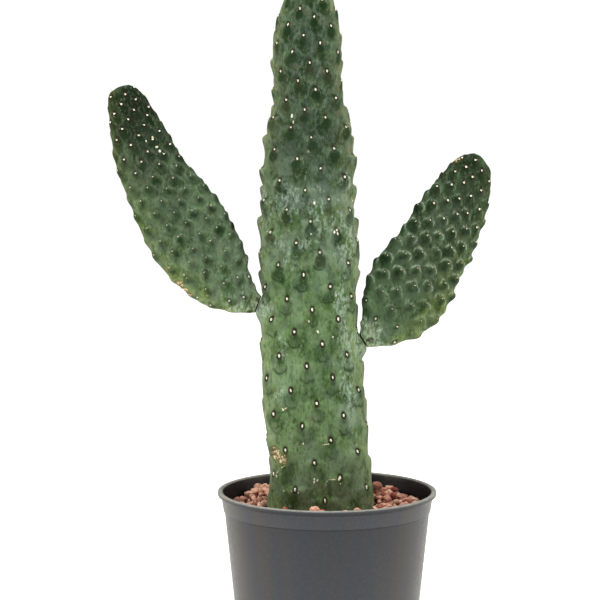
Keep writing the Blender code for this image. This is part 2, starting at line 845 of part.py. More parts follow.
def main():
    """Builds every sub-part."""
    clear_scene()
    group = new_collection("potted_consolea_cactus")
    cutters = new_collection("cutters")
    trunk = Trunk()
    hole = stem_hole(trunk, cutters)
    build_pot(group, cutters)
    soil = build_soil(group, hole)
    gravel = build_gravel(group, hole)
    trunk_item = build_trunk(trunk, group)
    left = Pad(*PAD_EDGES["left"], LEFT_TURN, LEFT_BEND, LEFT_FIRST_ANGLE)
    right = Pad(*PAD_EDGES["right"], RIGHT_TURN, RIGHT_BEND, RIGHT_FIRST_ANGLE)
    left_item = add_object("pad_left", limb_mesh(left, "pad_left", cushions=False), group)
    right_item = add_object("pad_right", limb_mesh(right, "pad_right", cushions=False), group)
    for item in (soil, gravel, trunk_item, left_item, right_item):
        shade(item)


main()
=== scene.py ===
"""Looks of a potted consolea cactus, dressed round its solids.

Metres, +Z up, the plant's broad face towards -Y. The stem and its two pads are fine lofts whose tubercles
follow one spiral rule. Each carries its felted areoles and its bristles. The pot, the lava gravel and the
soil are dressed to match.
"""

import logging
import math
import random
from dataclasses import dataclass
from dataclasses import field
from enum import Enum

import bmesh
import bpy
import numpy as np
from mathutils import Matrix
from mathutils import Vector
from mathutils import noise


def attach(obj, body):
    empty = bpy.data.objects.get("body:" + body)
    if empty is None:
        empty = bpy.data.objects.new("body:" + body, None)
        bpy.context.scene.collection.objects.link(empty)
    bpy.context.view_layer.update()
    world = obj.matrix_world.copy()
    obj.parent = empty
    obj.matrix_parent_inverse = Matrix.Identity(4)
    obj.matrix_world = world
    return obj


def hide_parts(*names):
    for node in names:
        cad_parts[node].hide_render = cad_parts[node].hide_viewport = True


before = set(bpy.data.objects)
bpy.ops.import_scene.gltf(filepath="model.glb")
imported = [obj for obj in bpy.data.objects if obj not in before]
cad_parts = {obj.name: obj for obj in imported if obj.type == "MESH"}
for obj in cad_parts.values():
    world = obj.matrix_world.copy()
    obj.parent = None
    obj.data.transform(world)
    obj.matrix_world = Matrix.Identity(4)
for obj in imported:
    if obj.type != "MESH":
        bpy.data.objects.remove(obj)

LOG = logging.getLogger("potted_consolea_cactus")
BODY = "root"
TURN_PER_TUBERCLE = math.radians(99.3)
GOLDEN_ANGLE = math.radians(137.508)
TINY = 1e-12
FAR = 9.0
WHITE = (1.0, 1.0, 1.0, 1.0)

Colour = tuple[float, float, float]
Span = tuple[float, float]
Place = tuple[float, float, float]
Table = tuple[tuple[float, ...], ...]
Grid = np.ndarray
Socket = bpy.types.NodeSocket
Number = Socket | float
Item = bpy.types.Object
Material = bpy.types.Material
Mesh = bpy.types.Mesh
Tree = bpy.types.NodeTree
Node = bpy.types.Node
BMesh = bmesh.types.BMesh


def tint(red: int, green: int, blue: int) -> Colour:
    """Turns a colour as a screen shows it, from 0 to 255, into a linear one from 0 to 1."""
    shares = (red / 255, green / 255, blue / 255)
    return tuple(s / 12.92 if s <= 0.04045 else ((s + 0.055) / 1.055) ** 2.4 for s in shares)


def ease(low: float, high: float, value: Grid) -> Grid:
    """Rises from 0 at low to 1 at high, level at both ends."""
    share = np.clip((value - low) / (high - low), 0.0, 1.0)
    return share * share * (3.0 - 2.0 * share)


def hill(away: Grid, width: float) -> Grid:
    """Bell curve that is 1 where away is 0, and dies out over its width."""
    return np.exp(-((away / width) ** 2))


def wrapped(turn: Grid) -> Grid:
    """Brings turns to between half a turn back and half a turn on."""
    return (turn + math.pi) % math.tau - math.pi


def follow(table: Table, value: float) -> list[float]:
    """Reads a smooth curve through the rows of a table.

    Args:
        table: Rows whose first column rises.
        value: Where to read, in the first column's terms.

    Returns:
        The other columns at that value.
    """
    last = len(table) - 2
    row = 0
    while row < last and value > table[row + 1][0]:
        row += 1
    before, start, end, after = (table[at] for at in (max(row - 1, 0), row, row + 1, min(row + 2, last + 1)))
    span = end[0] - start[0]
    share = min(max((value - start[0]) / span, 0.0), 1.0)
    square = share * share
    cube = square * share
    result = []
    for column in range(1, len(start)):
        slope_start = (end[column] - before[column]) / (end[0] - before[0]) * span
        slope_end = (after[column] - start[column]) / (after[0] - start[0]) * span
        result.append(
            (2 * cube - 3 * square + 1) * start[column]
            + (cube - 2 * square + share) * slope_start
            + (3 * square - 2 * cube) * end[column]
            + (cube - square) * slope_end
        )
    return result


def follow_all(table: Table, values: Grid) -> Grid:
    """Reads a table's smooth curve at each of some values, a row for each."""
    return np.array([follow(table, float(value)) for value in values])


def as_mesh(bm: BMesh, name: str, rounded: bool = False) -> Mesh:
    """Turns a bmesh into a mesh and frees it.

    Args:
        bm: The bmesh.
        name: Name of the mesh.
        rounded: Whether its faces are turned outwards and shaded smooth.

    Returns:
        The mesh.
    """
    if rounded:
        bmesh.ops.recalc_face_normals(bm, faces=bm.faces[:])
    mesh = bpy.data.meshes.new(name)
    bm.to_mesh(mesh)
    bm.free()
    if rounded:
        mesh.shade_smooth()
    return mesh


def add_rod(bm: BMesh, sides: int, radii: Span, length: float, way: Matrix) -> None:
    """Adds a round rod.

    Args:
        bm: Mesh that it goes into.
        sides: How many sides it has.
        radii: Its radius at the foot and at the tip.
        length: Its length.
        way: Where it lies and how it is turned.
    """
    foot, tip = radii
    bmesh.ops.create_cone(
        bm, cap_ends=True, segments=sides, radius1=foot, radius2=tip, depth=length, matrix=way
    )


def mark_points(mesh: Mesh, name: str, values: Grid) -> None:
    """Gives each point of a mesh four channels that its material reads."""
    layer = mesh.attributes.new(name, "FLOAT_COLOR", "POINT")
    layer.data.foreach_set("color", values.astype(np.float32).ravel())


def add_object(name: str, data: bpy.types.ID) -> Item:
    """Puts a new object into the scene.

    Args:
        name: Name of the object.
        data: Its mesh, lamp or camera.

    Returns:
        The object.
    """
    item = bpy.data.objects.new(name, data)
    bpy.context.scene.collection.objects.link(item)
    return item


def dress(mesh: Mesh, material: Material) -> Item:
    """Makes a mesh a piece of the object, under the mesh's own name.

    Args:
        mesh: The mesh, in place.
        material: Its material.

    Returns:
        The piece.
    """
    item = add_object(mesh.name, mesh)
    mesh.materials.clear()
    mesh.materials.append(material)
    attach(item, BODY)
    return item


class Graph:
    """Adds and joins the nodes of one node tree."""

    def __init__(self, tree: Tree) -> None:
        """Keeps the tree that the nodes go into."""
        self.tree = tree

    def feed(self, node: Node, inputs: dict) -> None:
        """Links sockets to a node's inputs, or sets constants on them.

        Args:
            node: The node.
            inputs: Name or number of each input, and the socket or constant that feeds it.
        """
        for key, value in inputs.items():
            if isinstance(value, Socket):
                self.tree.links.new(value, node.inputs[key])
            else:
                node.inputs[key].default_value = value

    def add(self, kind: str, inputs: dict | None = None, **settings: object) -> Node:
        """Adds one node.

        Args:
            kind: Type of the node.
            inputs: Name or number of each input, and the socket or constant that feeds it.
            settings: Properties of the node.

        Returns:
            The new node.
        """
        node = self.tree.nodes.new(kind)
        for name, value in settings.items():
            setattr(node, name, value)
        self.feed(node, inputs or {})
        return node

    def effect(self, group: Tree, **inputs: Number) -> bpy.types.NodeOutputs:
        """Places a shared effect with its own values, and gives its outputs."""
        return self.add("ShaderNodeGroup", inputs, node_tree=group).outputs

    def mix(self, share: Number, first: Socket | Colour, second: Socket | Colour) -> Socket:
        """Mixes two colours, where share says how much of the second shows."""
        colours = {key: c if isinstance(c, Socket) else (*c, 1.0) for key, c in ((6, first), (7, second))}
        return self.add("ShaderNodeMix", {0: share} | colours, data_type="RGBA").outputs[2]

    def layered(self, colour: Socket | Colour, *layers: tuple[Number, Socket | Colour]) -> Socket:
        """Lays colours over a first one.

        Args:
            colour: Colour at the bottom.
            layers: How much of each colour shows, and the colour.

        Returns:
            The colour that is seen.
        """
        for share, top in layers:
            colour = self.mix(share, colour, top)
        return colour

    def maths(self, operation: str, first: Number, second: Number) -> Socket:
        """Works out one number from two by an operation of the Math node."""
        return self.add("ShaderNodeMath", {0: first, 1: second}, operation=operation).outputs[0]

    def times(self, first: Number, second: Number) -> Socket:
        """Multiplies two numbers."""
        return self.maths("MULTIPLY", first, second)

    def plus(self, first: Number, second: Number) -> Socket:
        """Adds two numbers."""
        return self.maths("ADD", first, second)

    def span(self, value: Socket, low: Number, high: Number, top: float = 1.0) -> Socket:
        """Rises smoothly from 0 where the value is low to top where it is high."""
        inputs = {"Value": value, "From Min": low, "From Max": high, "To Max": top}
        return self.add("ShaderNodeMapRange", inputs, interpolation_type="SMOOTHSTEP").outputs[0]

    def noise(self, place: Socket, scale: Number, detail: float = 3.0, roughness: float = 0.5) -> Socket:
        """Clouds round 0.5, so many a metre, with finer layers of some weight on them."""
        inputs = {"Vector": place, "Scale": scale, "Detail": detail, "Roughness": roughness}
        return self.add("ShaderNodeTexNoise", inputs).outputs[0]

    def flattened(self, place: Socket, share: float) -> Socket:
        """Shrinks upright distances to a share, so that a pattern on them is drawn out upwards."""
        return self.add("ShaderNodeMapping", {"Vector": place, "Scale": (1.0, 1.0, share)}).outputs[0]

    def channels(self, name: str) -> tuple[Socket, Socket, Socket, Socket]:
        """Reads an attribute of four channels.

        Args:
            name: The attribute.

        Returns:
            Its four channels.
        """
        source = self.add("ShaderNodeAttribute", attribute_name=name).outputs
        parts = self.add("ShaderNodeSeparateColor", {"Color": source["Color"]}).outputs
        return parts[0], parts[1], parts[2], source["Alpha"]

    def bump(self, height: Socket, depth: float, strength: float = 1.0) -> Socket:
        """Bends the normal by a height from 0 to 1, where 1 is as many metres as depth says."""
        inputs = {"Height": height, "Distance": depth, "Strength": strength}
        return self.add("ShaderNodeBump", inputs).outputs[0]


Group = tuple[Graph, list[Socket], Node]


class Surface:
    """A new material with its shader, and the graph that feeds it."""

    def __init__(self, name: str) -> None:
        """Makes the material.

        Args:
            name: Name of the material.
        """
        self.material = bpy.data.materials.new(name)
        self.material.use_nodes = True
        self.graph = Graph(self.material.node_tree)
        self.place = self.graph.add("ShaderNodeTexCoord").outputs["Object"]

    def finished(self, inputs: dict) -> Material:
        """Feeds the shader and gives the material.

        Args:
            inputs: Name of each of the shader's sockets that is used, and what feeds it.

        Returns:
            The material.
        """
        self.graph.feed(self.material.node_tree.nodes["Principled BSDF"], inputs)
        return self.material


class Effects:
    """Node groups that several materials share, each built once."""

    def __init__(self) -> None:
        """Builds the groups."""
        self.streaks = self.build_streaks()
        self.mottle = self.build_mottle()
        self.patch = self.build_patch()

    @staticmethod
    def begin(name: str, inputs: dict[str, str], outputs: tuple[str, ...]) -> Group:
        """Makes an empty group.

        Args:
            name: Name of the group.
            inputs: Names of the inputs and their kinds, Float or Vector.
            outputs: Names of the outputs, which are numbers.

        Returns:
            The graph, the sockets of the inputs in their order, and the node that takes the outputs.
        """
        tree = bpy.data.node_groups.new(name, "ShaderNodeTree")
        for label, kind in inputs.items():
            tree.interface.new_socket(label, in_out="INPUT", socket_type=f"NodeSocket{kind}")
        for label in outputs:
            tree.interface.new_socket(label, in_out="OUTPUT", socket_type="NodeSocketFloat")
        graph = Graph(tree)
        given = graph.add("NodeGroupInput").outputs
        return graph, [given[label] for label in inputs], graph.add("NodeGroupOutput")

    def build_streaks(self) -> Tree:
        """Pale upright streaks, as wax bloom and dried water leave them.

        Returns:
            The group.
        """
        kinds = {"Place": "Vector", "Scale": "Float", "Length": "Float", "Cover": "Float"}
        graph, (place, scale, length, cover), result = self.begin("upright_streaks", kinds, ("Mask",))
        x, y, z = graph.add("ShaderNodeSeparateXYZ", {0: place}).outputs
        low_z = graph.maths("DIVIDE", z, length)
        drawn = graph.add("ShaderNodeCombineXYZ", {0: x, 1: y, 2: low_z}).outputs[0]
        streaks = graph.noise(drawn, scale, 5.0, 0.62)
        broad = graph.noise(place, graph.times(scale, 0.16), 2.0)
        both = graph.plus(graph.times(streaks, 0.6), graph.times(broad, 0.4))
        low = graph.maths("SUBTRACT", 0.72, graph.times(cover, 0.4))
        graph.feed(result, {"Mask": graph.span(both, low, graph.plus(low, 0.13))})
        return graph.tree

    def build_mottle(self) -> Tree:
        """Fine mottling, with small pale points.

        Returns:
            The group.
        """
        kinds = {"Place": "Vector", "Scale": "Float"}
        graph, (place, scale), result = self.begin("fine_mottle", kinds, ("Value", "Points"))
        cloud = graph.noise(place, scale, 4.0, 0.65)
        cells = graph.add("ShaderNodeTexVoronoi", {"Vector": place, "Scale": scale}).outputs
        points = graph.span(cells["Distance"], 0.16, 0.05)
        graph.feed(result, {"Value": cloud, "Points": graph.times(points, graph.span(cloud, 0.5, 0.62))})
        return graph.tree

    def build_patch(self) -> Tree:
        """Ragged patches where a soft mask says, with the border round them.

        Returns:
            The group.
        """
        kinds = {"Place": "Vector", "Scale": "Float", "Mask": "Float"}
        graph, (place, scale, mask), result = self.begin("ragged_patch", kinds, ("Patch", "Border"))
        ragged = graph.noise(place, scale, 4.0, 0.6)
        level = graph.times(mask, graph.plus(graph.span(ragged, 0.34, 0.62), 0.12))
        graph.feed(result, {"Patch": graph.span(level, 0.34, 0.6), "Border": graph.span(level, 0.08, 0.3)})
        return graph.tree


@dataclass(frozen=True)
class SkinFinish:
    """Waxy skin of one limb: its greens, the marks round its tubercles, partly painted shade and highlight,
    and its bloom.
    """

    deep: Colour
    mid: Colour
    light: Colour
    dull: Colour
    dark_oval_and_shade: Colour
    rust: Colour
    bloom: Colour
    edge: Colour
    edge_share: float
    fleck_share: float
    fleck_depth: float = 0.45
    grain_depth: float = 0.5
    veil_share: float = 0.75
    roughness: float = 0.5
    wax_roughness: float = 0.25
    relief: float = 0.0005
    halo: Colour = tint(34, 26, 14)
    joint: Colour = tint(26, 30, 8)
    cork: Colour = tint(228, 211, 170)
    cork_border: Colour = tint(106, 94, 52)
    cloud_scale: float = 34.0
    veil_scale: float = 84.0
    patch_scale: float = 105.0
    grain_scale: float = 200.0
    ragged_scale: float = 300.0
    streak_scale: float = 330.0
    streak_length: float = 2.2
    cork_scale: float = 420.0
    fleck_scale: float = 560.0
    crumb_scale: float = 900.0

    def material(self, name: str, effects: Effects) -> Material:
        """Builds the material.

        Args:
            name: Name of the material.
            effects: The shared node groups.

        Returns:
            The material.
        """
        surface = Surface(name)
        graph, place = surface.graph, surface.place
        dark_oval_and_shade, lit_crescent, halo, bloom = graph.channels("tubercle")
        edge, mark, joint, young_and_rim_shade = graph.channels("limb")
        clouds = graph.noise(place, self.cloud_scale, 4.0, 0.55)
        patches = graph.noise(place, self.patch_scale, 4.0, 0.6)
        flecks = graph.noise(graph.flattened(place, 0.5), self.fleck_scale, 4.0, 0.7)
        grain = graph.noise(graph.flattened(place, 0.42), self.grain_scale, 3.0, 0.55)
        ragged = graph.span(graph.noise(place, self.ragged_scale), 0.1, 0.5)
        wax = self.wax(surface, effects, flecks, (dark_oval_and_shade, lit_crescent, bloom))
        cork = graph.effect(effects.patch, Place=place, Mask=mark, Scale=self.cork_scale)
        crumbs = graph.span(graph.noise(place, self.crumb_scale), 0.42, 0.56)
        colour = graph.layered(
            self.mid,
            (graph.span(clouds, 0.36, 0.64), self.light),
            (graph.span(grain, 0.5, 0.66, 0.5), self.light),
            # deep green of new growth, and painted shade along the outermost narrow sides
            (graph.times(young_and_rim_shade, graph.span(patches, 0.12, 0.54)), self.deep),
            (graph.span(patches, 0.56, 0.74, 0.6), self.dull),
            # yellower edges; on the stem this colour is also lighter, as painted side light
            (graph.times(edge, graph.span(patches, 0.3, 0.6, self.edge_share)), self.edge),
            (graph.span(grain, 0.5, 0.34, self.grain_depth), self.deep),
            (graph.span(flecks, 0.5, 0.3, self.fleck_depth), self.deep),
            # dark ovals below the tubercles: partly the skin's darker green, partly painted shade
            (graph.times(dark_oval_and_shade, ragged), graph.mix(graph.span(clouds, 0.52, 0.66), self.dark_oval_and_shade, self.rust)),
            # wax bloom, which also carries the pale crescents and seams painted as highlights on the
            # tubercles' upper edges and ridges
            (wax, self.bloom),
            (halo, self.halo),
            (graph.times(cork["Border"], 0.8), self.cork_border),
            (cork["Patch"], graph.mix(crumbs, self.cork_border, self.cork)),
            (joint, self.joint),
        )
        return surface.finished({
            "Base Color": colour,
            "Roughness": graph.plus(graph.times(wax, self.wax_roughness), self.roughness),
            "Specular IOR Level": 0.1,
            "Normal": graph.bump(graph.plus(flecks, graph.times(cork["Patch"], 1.2)), self.relief, 0.8),
        })

    def wax(self, surface: Surface, effects: Effects, flecks: Socket, marks: tuple[Socket, ...]) -> Socket:
        """Works out where the wax bloom lies: in streaks and veils, in flecks, and in the pale crescents
        round the dark ovals, which are partly painted highlight.

        Args:
            surface: The material.
            effects: The shared node groups.
            flecks: The finest pattern of the skin.
            marks: The dark ovals, partly painted shade, the pale crescents above them, partly painted
                highlight, and the bloom.

        Returns:
            How much wax there is.
        """
        graph, place = surface.graph, surface.place
        dark_oval_and_shade, lit_crescent, bloom = marks
        open_skin = graph.maths("SUBTRACT", 1.0, graph.times(dark_oval_and_shade, 0.85))
        scales = {"Scale": self.streak_scale, "Length": self.streak_length}
        streaks = graph.effect(effects.streaks, Place=place, Cover=bloom, **scales)
        veils = graph.noise(graph.flattened(place, 0.7), self.veil_scale)
        veil = graph.times(bloom, graph.span(veils, 0.4, 0.62, self.veil_share))
        veil = graph.times(veil, graph.span(flecks, 0.1, 0.56, 0.6))
        streak = graph.times(streaks["Mask"], graph.span(flecks, 0.36, 0.64, 0.75))
        specks = graph.times(graph.span(flecks, 0.53, 0.72, self.fleck_share), open_skin)
        wax = graph.times(graph.maths("MAXIMUM", streak, veil), open_skin)
        wax = graph.maths("MAXIMUM", wax, specks)
        return graph.maths("MAXIMUM", wax, graph.times(lit_crescent, graph.span(flecks, 0.3, 0.62, 0.8)))


@dataclass(frozen=True)
class FeltFinish:
    """Cream felt of an areole, darker and browner where it meets the skin as painted shade."""

    cream: Colour = tint(246, 244, 222)
    shadow: Colour = tint(196, 180, 132)
    dusty: Colour = tint(120, 136, 104)
    scale: float = 2600.0
    relief: float = 0.0003

    def material(self, name: str) -> Material:
        """Builds the material.

        Args:
            name: Name of the material.

        Returns:
            The material.
        """
        surface = Surface(name)
        graph = surface.graph
        fibres = graph.noise(surface.place, self.scale, 3.0, 0.6)
        shaded_rim, dim, _, _ = graph.channels("felt")
        # painted shade: the felt's foot, where it meets the skin, takes the darker shadow colour
        stain = graph.times(shaded_rim, graph.span(fibres, 0.2, 0.6))
        return surface.finished({
            "Base Color": graph.layered(self.cream, (stain, self.shadow), (dim, self.dusty)),
            "Roughness": graph.span(fibres, 0.0, 1.0, 0.95),
            "Sheen Weight": 0.3,
            "Normal": graph.bump(fibres, self.relief),
        })


@dataclass(frozen=True)
class BristleFinish:
    """Horny bristle, banded pale and darker."""

    pale: Colour = tint(236, 226, 190)
    dark: Colour = tint(150, 120, 76)
    scale: float = 700.0
    roughness: float = 0.4

    def material(self, name: str) -> Material:
        """Builds the material.

        Args:
            name: Name of the material.

        Returns:
            The material.
        """
        surface = Surface(name)
        graph = surface.graph
        bands = graph.noise(surface.place, self.scale, 2.0)
        return surface.finished({
            "Base Color": graph.mix(graph.span(bands, 0.45, 0.7), self.pale, self.dark),
            "Roughness": graph.plus(graph.times(bands, 0.2), self.roughness),
        })


@dataclass(frozen=True)
class PotFinish:
    """Grey moulded plastic with faint upright flow lines and dust, painted shade inside and in the creases,
    a painted highlight along the lip's top and painted warmer light on the sides.
    """

    body: Colour = tint(61, 63, 70)
    warm: Colour = tint(69, 68, 65)
    # Warmer, lighter colour for the pot's left and right sides: painted side light
    side: Colour = tint(72, 70, 61)
    # Near-black inside colour: painted shade inside the pot, standing also for soil staining
    inner: Colour = tint(13, 13, 15)
    dust: Colour = tint(140, 137, 128)
    # Pale colour for the painted highlight along the lip's top
    lip_highlight: Colour = tint(160, 160, 152)
    soil_stain: Colour = tint(60, 42, 32)
    # Near-black painted shade for the creases under the lip and at the collar's foot
    crease_shade: Colour = tint(12, 12, 13)
    flow_scale: float = 60.0
    water_scale: float = 70.0
    stain_scale: float = 140.0
    highlight_break_scale: float = 240.0
    mottle_scale: float = 420.0
    relief: float = 0.00008

    def material(self, name: str, effects: Effects) -> Material:
        """Builds the material.

        Args:
            name: Name of the material.
            effects: The shared node groups.

        Returns:
            The material.
        """
        surface = Surface(name)
        graph, place = surface.graph, surface.place
        inside, lip_highlight, crease_shade, side = graph.channels("pot")
        flow = graph.noise(graph.flattened(place, 0.06), self.flow_scale)
        mottle = graph.effect(effects.mottle, Place=place, Scale=self.mottle_scale)
        water = graph.effect(effects.streaks, Place=place, Scale=self.water_scale, Length=5.0, Cover=0.35)
        stain = graph.span(graph.noise(place, self.stain_scale, 4.0), 0.5, 0.7, 0.45)
        ragged = graph.span(graph.noise(place, self.highlight_break_scale, 4.0, 0.6), 0.2, 0.7, 0.4)
        colour = graph.layered(
            self.body,
            (graph.span(flow, 0.35, 0.7, 0.7), self.warm),
            # painted warmer side light on the pot's left and right sides
            (graph.times(side, graph.span(flow, 0.2, 0.6, 0.8)), self.side),
            (graph.span(mottle["Value"], 0.45, 0.75, 0.07), self.dust),
            (graph.times(mottle["Points"], 0.1), self.dust),
            (graph.times(water["Mask"], 0.08), self.dust),
            # painted shade in the creases
            (graph.times(crease_shade, 0.9), self.crease_shade),
            # painted shade inside the pot, near-black
            (inside, self.inner),
            (graph.times(inside, stain), self.soil_stain),
            # painted highlight along the lip's top, broken up by ragged noise
            (graph.times(lip_highlight, graph.plus(ragged, 0.5)), self.lip_highlight),
        )
        return surface.finished({
            "Base Color": colour,
            "Roughness": graph.span(mottle["Value"], -0.6, 1.4, 0.7),
            "Specular IOR Level": 0.22,
            "Normal": graph.bump(graph.plus(flow, mottle["Value"]), self.relief, 0.6),
        })


@dataclass(frozen=True)
class StoneFinish:
    """Porous lava stone, each a little lighter, redder or greyer than the next, painted paler on top as
    highlight and darker underneath as shade.
    """

    red: Colour = tint(208, 110, 82)
    # Pale colour, also the painted highlight on the stones' tops
    pale: Colour = tint(255, 204, 176)
    # Dark colour of the pores, also the painted shade under the stones and in the gaps
    dark: Colour = tint(54, 16, 10)
    grey: Colour = tint(202, 156, 136)
    pore_scale: float = 900.0
    mottle_scale: float = 1500.0
    relief: float = 0.0014

    def material(self, name: str, effects: Effects) -> Material:
        """Builds the material.

        Args:
            name: Name of the material.
            effects: The shared node groups.

        Returns:
            The material.
        """
        surface = Surface(name)
        graph, place = surface.graph, surface.place
        shade, hue, _, _ = graph.channels("stone")
        pores = graph.noise(place, self.pore_scale, 4.0, 0.65)
        mottle = graph.effect(effects.mottle, Place=place, Scale=self.mottle_scale)
        colour = graph.layered(
            self.dark,
            # the stone channel is each stone's tone, painted darker underneath as shade; its high end paints
            # the highlight on top
            (graph.span(shade, 0.1, 0.95), self.red),
            (graph.span(shade, 0.5, 0.95, 0.9), self.pale),
            (graph.span(hue, 0.72, 0.95, 0.6), self.grey),
            (graph.span(pores, 0.5, 0.34, 0.85), self.dark),
            (graph.times(mottle["Points"], 0.5), self.pale),
        )
        return surface.finished({
            "Base Color": colour,
            "Roughness": graph.span(pores, -1.5, 1.0, 0.95),
            "Normal": graph.bump(pores, self.relief),
        })


@dataclass(frozen=True)
class SoilFinish:
    """Dark potting mix of bark, peat and fine pale grit."""

    dark: Colour = tint(46, 34, 26)
    brown: Colour = tint(92, 66, 46)
    grit: Colour = tint(176, 160, 136)
    crumb_scale: float = 420.0
    grit_scale: float = 600.0
    relief: float = 0.0012

    def material(self, name: str, effects: Effects) -> Material:
        """Builds the material.

        Args:
            name: Name of the material.
            effects: The shared node groups.

        Returns:
            The material.
        """
        surface = Surface(name)
        graph = surface.graph
        crumbs = graph.noise(surface.place, self.crumb_scale, 5.0, 0.7)
        grit = graph.effect(effects.mottle, Place=surface.place, Scale=self.grit_scale)["Points"]
        bark = graph.span(crumbs, 0.4, 0.65)
        return surface.finished({
            "Base Color": graph.layered(self.dark, (bark, self.brown), (grit, self.grit)),
            "Roughness": graph.span(crumbs, -3.0, 1.0, 0.98),
            "Normal": graph.bump(crumbs, self.relief),
        })


@dataclass(frozen=True)
class TubercleShape:
    """Form and marks of one tubercle, in shares of the distance between two of them.

    The areole is at the origin, and lengths along the limb count from there.
    """

    half_width: float
    foot: float
    crest: float
    top: float
    swell: float
    crown: float
    taper: float
    oval_middle: float
    oval_half_width: float
    oval_half_length: float
    dent_below: float = 0.2
    dent_half_width: float = 0.12
    dent_half_length: float = 0.14
    border_width: float = 0.18
    crescent_reach: float = 1.14
    crescent_width: float = 0.15
    seam_width: float = 0.3

    def height(self, across: Grid, along: Grid) -> Grid:
        """How far the tubercle stands out.

        Args:
            across: Places across the limb.
            along: Places along the limb, towards the tip.

        Returns:
            Heights from 0 to 1.
        """
        slope = ease(-self.foot, self.crest, along) ** self.swell
        step = 1.0 - ease(self.crest, self.top, along)
        width = self.half_width * (1.0 - self.taper * ease(self.crest, -self.foot, along))
        side = np.cos(np.clip(np.abs(across) / width, 0.0, 1.0) * math.pi / 2) ** self.crown
        return slope * step * side

    def oval(self, across: Grid, along: Grid) -> Grid:
        """Distance from the middle of the dark oval below the areole, which is 1 at its border."""
        return np.hypot(across / self.oval_half_width, (along - self.oval_middle) / self.oval_half_length)

    def dent_shade(self, across: Grid, along: Grid) -> Grid:
        """Small dark spot just below the areole, painted shade."""
        wide, long = across / self.dent_half_width, (along + self.dent_below) / self.dent_half_length
        return np.exp(-(wide**2) - long**2)

    def border(self, ring: Grid, along: Grid) -> Grid:
        """Lower border of the oval, painted dark with it as shade below the tubercle."""
        below = ease(self.oval_middle - 0.02, self.oval_middle - 0.18, along)
        return hill(ring - 1.0, self.border_width) * below

    def lit_crescent(self, ring: Grid, along: Grid) -> Grid:
        """Pale arc over the oval: a painted highlight on the tubercle's upper edge, coloured as wax."""
        above = ease(self.oval_middle - 0.1, self.oval_middle + 0.2, along)
        return hill(ring - self.crescent_reach, self.crescent_width) * above


@dataclass(frozen=True)
class AreoleSize:
    """Size of an areole's felt cushion at a share of the limb's length, and how dusty it is."""

    share: float
    across: float
    along: float
    out: float
    dim: float = 0.0


@dataclass
class Areole:
    """One areole in its place on the skin."""

    place: Vector
    out: Vector
    up: Vector
    share: float
    scale: float = 1.0

    @staticmethod
    def on_skin(place: Vector, out: Vector, along: Vector, share: float, scale: float = 1.0) -> "Areole":
        """Makes an areole whose way up is the way along the limb, laid flat on the skin."""
        up = along.normalized()
        return Areole(place, out, (up - out * up.dot(out)).normalized(), share, scale)

    @property
    def right(self) -> Vector:
        """The way along the skin that is square to up."""
        return self.up.cross(self.out).normalized()


@dataclass
class Spine:
    """A long spine that lies against the skin."""

    root: Areole
    angle: float
    length: float
    radius: float = 0.00032


class Side(Enum):
    """Side of the stem that a pad grows on."""

    LEFT = -1.0
    RIGHT = 1.0


@dataclass(frozen=True)
class Joint:
    """Narrow joint between the stem and a pad."""

    middle: Vector
    outward: Vector
    half_depth: float = 0.0049
    half_height: float = 0.0066
    clear: float = 0.014
    line_half_width: float = 0.0009
    line_reach: float = 2.2
    stub_reach: Span = (0.009, 0.02)

    @staticmethod
    def between(upper: Table, lower: Table) -> "Joint":
        """Finds the joint of a pad.

        Args:
            upper: The pad's upper edge, from the joint out.
            lower: Its lower edge.

        Returns:
            The joint.
        """
        top, bottom = (Vector((edge[0][0], 0.0, edge[0][1])) for edge in (upper, lower))
        up = (top - bottom).normalized()
        outward = Vector((up.z, 0.0, -up.x))
        if outward.x * (upper[-1][0] - top.x) < 0:
            outward = -outward
        return Joint((top + bottom) / 2, outward)

    def distances(self, points: Grid) -> tuple[Grid, Grid, Grid]:
        """Measures points against the joint.

        Args:
            points: Places, with x, y and z last.

        Returns:
            How far each is past the joint's plane, how far off its axis in shares of its half size, and how
            far from its middle.
        """
        away = points - np.array(self.middle)
        past = away @ np.array(self.outward)
        height = away @ np.array((-self.outward.z, 0.0, self.outward.x))
        off = np.hypot(away[..., 1] / self.half_depth, height / self.half_height)
        return past, off, np.linalg.norm(away, axis=-1)

    def line(self, points: Grid) -> Grid:
        """The dark line where the pad meets the stem."""
        past, off, _ = self.distances(points)
        return (np.abs(past) < self.line_half_width) * (off < self.line_reach)

    def stub(self, points: Grid) -> Grid:
        """The skin close to the joint, from 0 to 1."""
        return 1.0 - ease(*self.stub_reach, self.distances(points)[2])

    def covers(self, place: Vector) -> bool:
        """Whether a place lies on the joint."""
        return (place - self.middle).length < self.clear * 0.75


@dataclass(frozen=True)
class Scar:
    """Corky mark on the skin."""

    place: Place
    radius: float
    depth: float = 0.0


class Nearby:
    """What the tubercles round each point of a skin do there, as grids of numbers."""

    def __init__(self, shape: tuple[int, int]) -> None:
        """Starts with no tubercle near."""
        names = ("height", "oval", "dent_shade", "border", "lit_crescent")
        self.grids = {name: np.zeros(shape) for name in names}
        self.areole, self.halo, self.first, self.second = (np.full(shape, FAR) for _ in range(4))


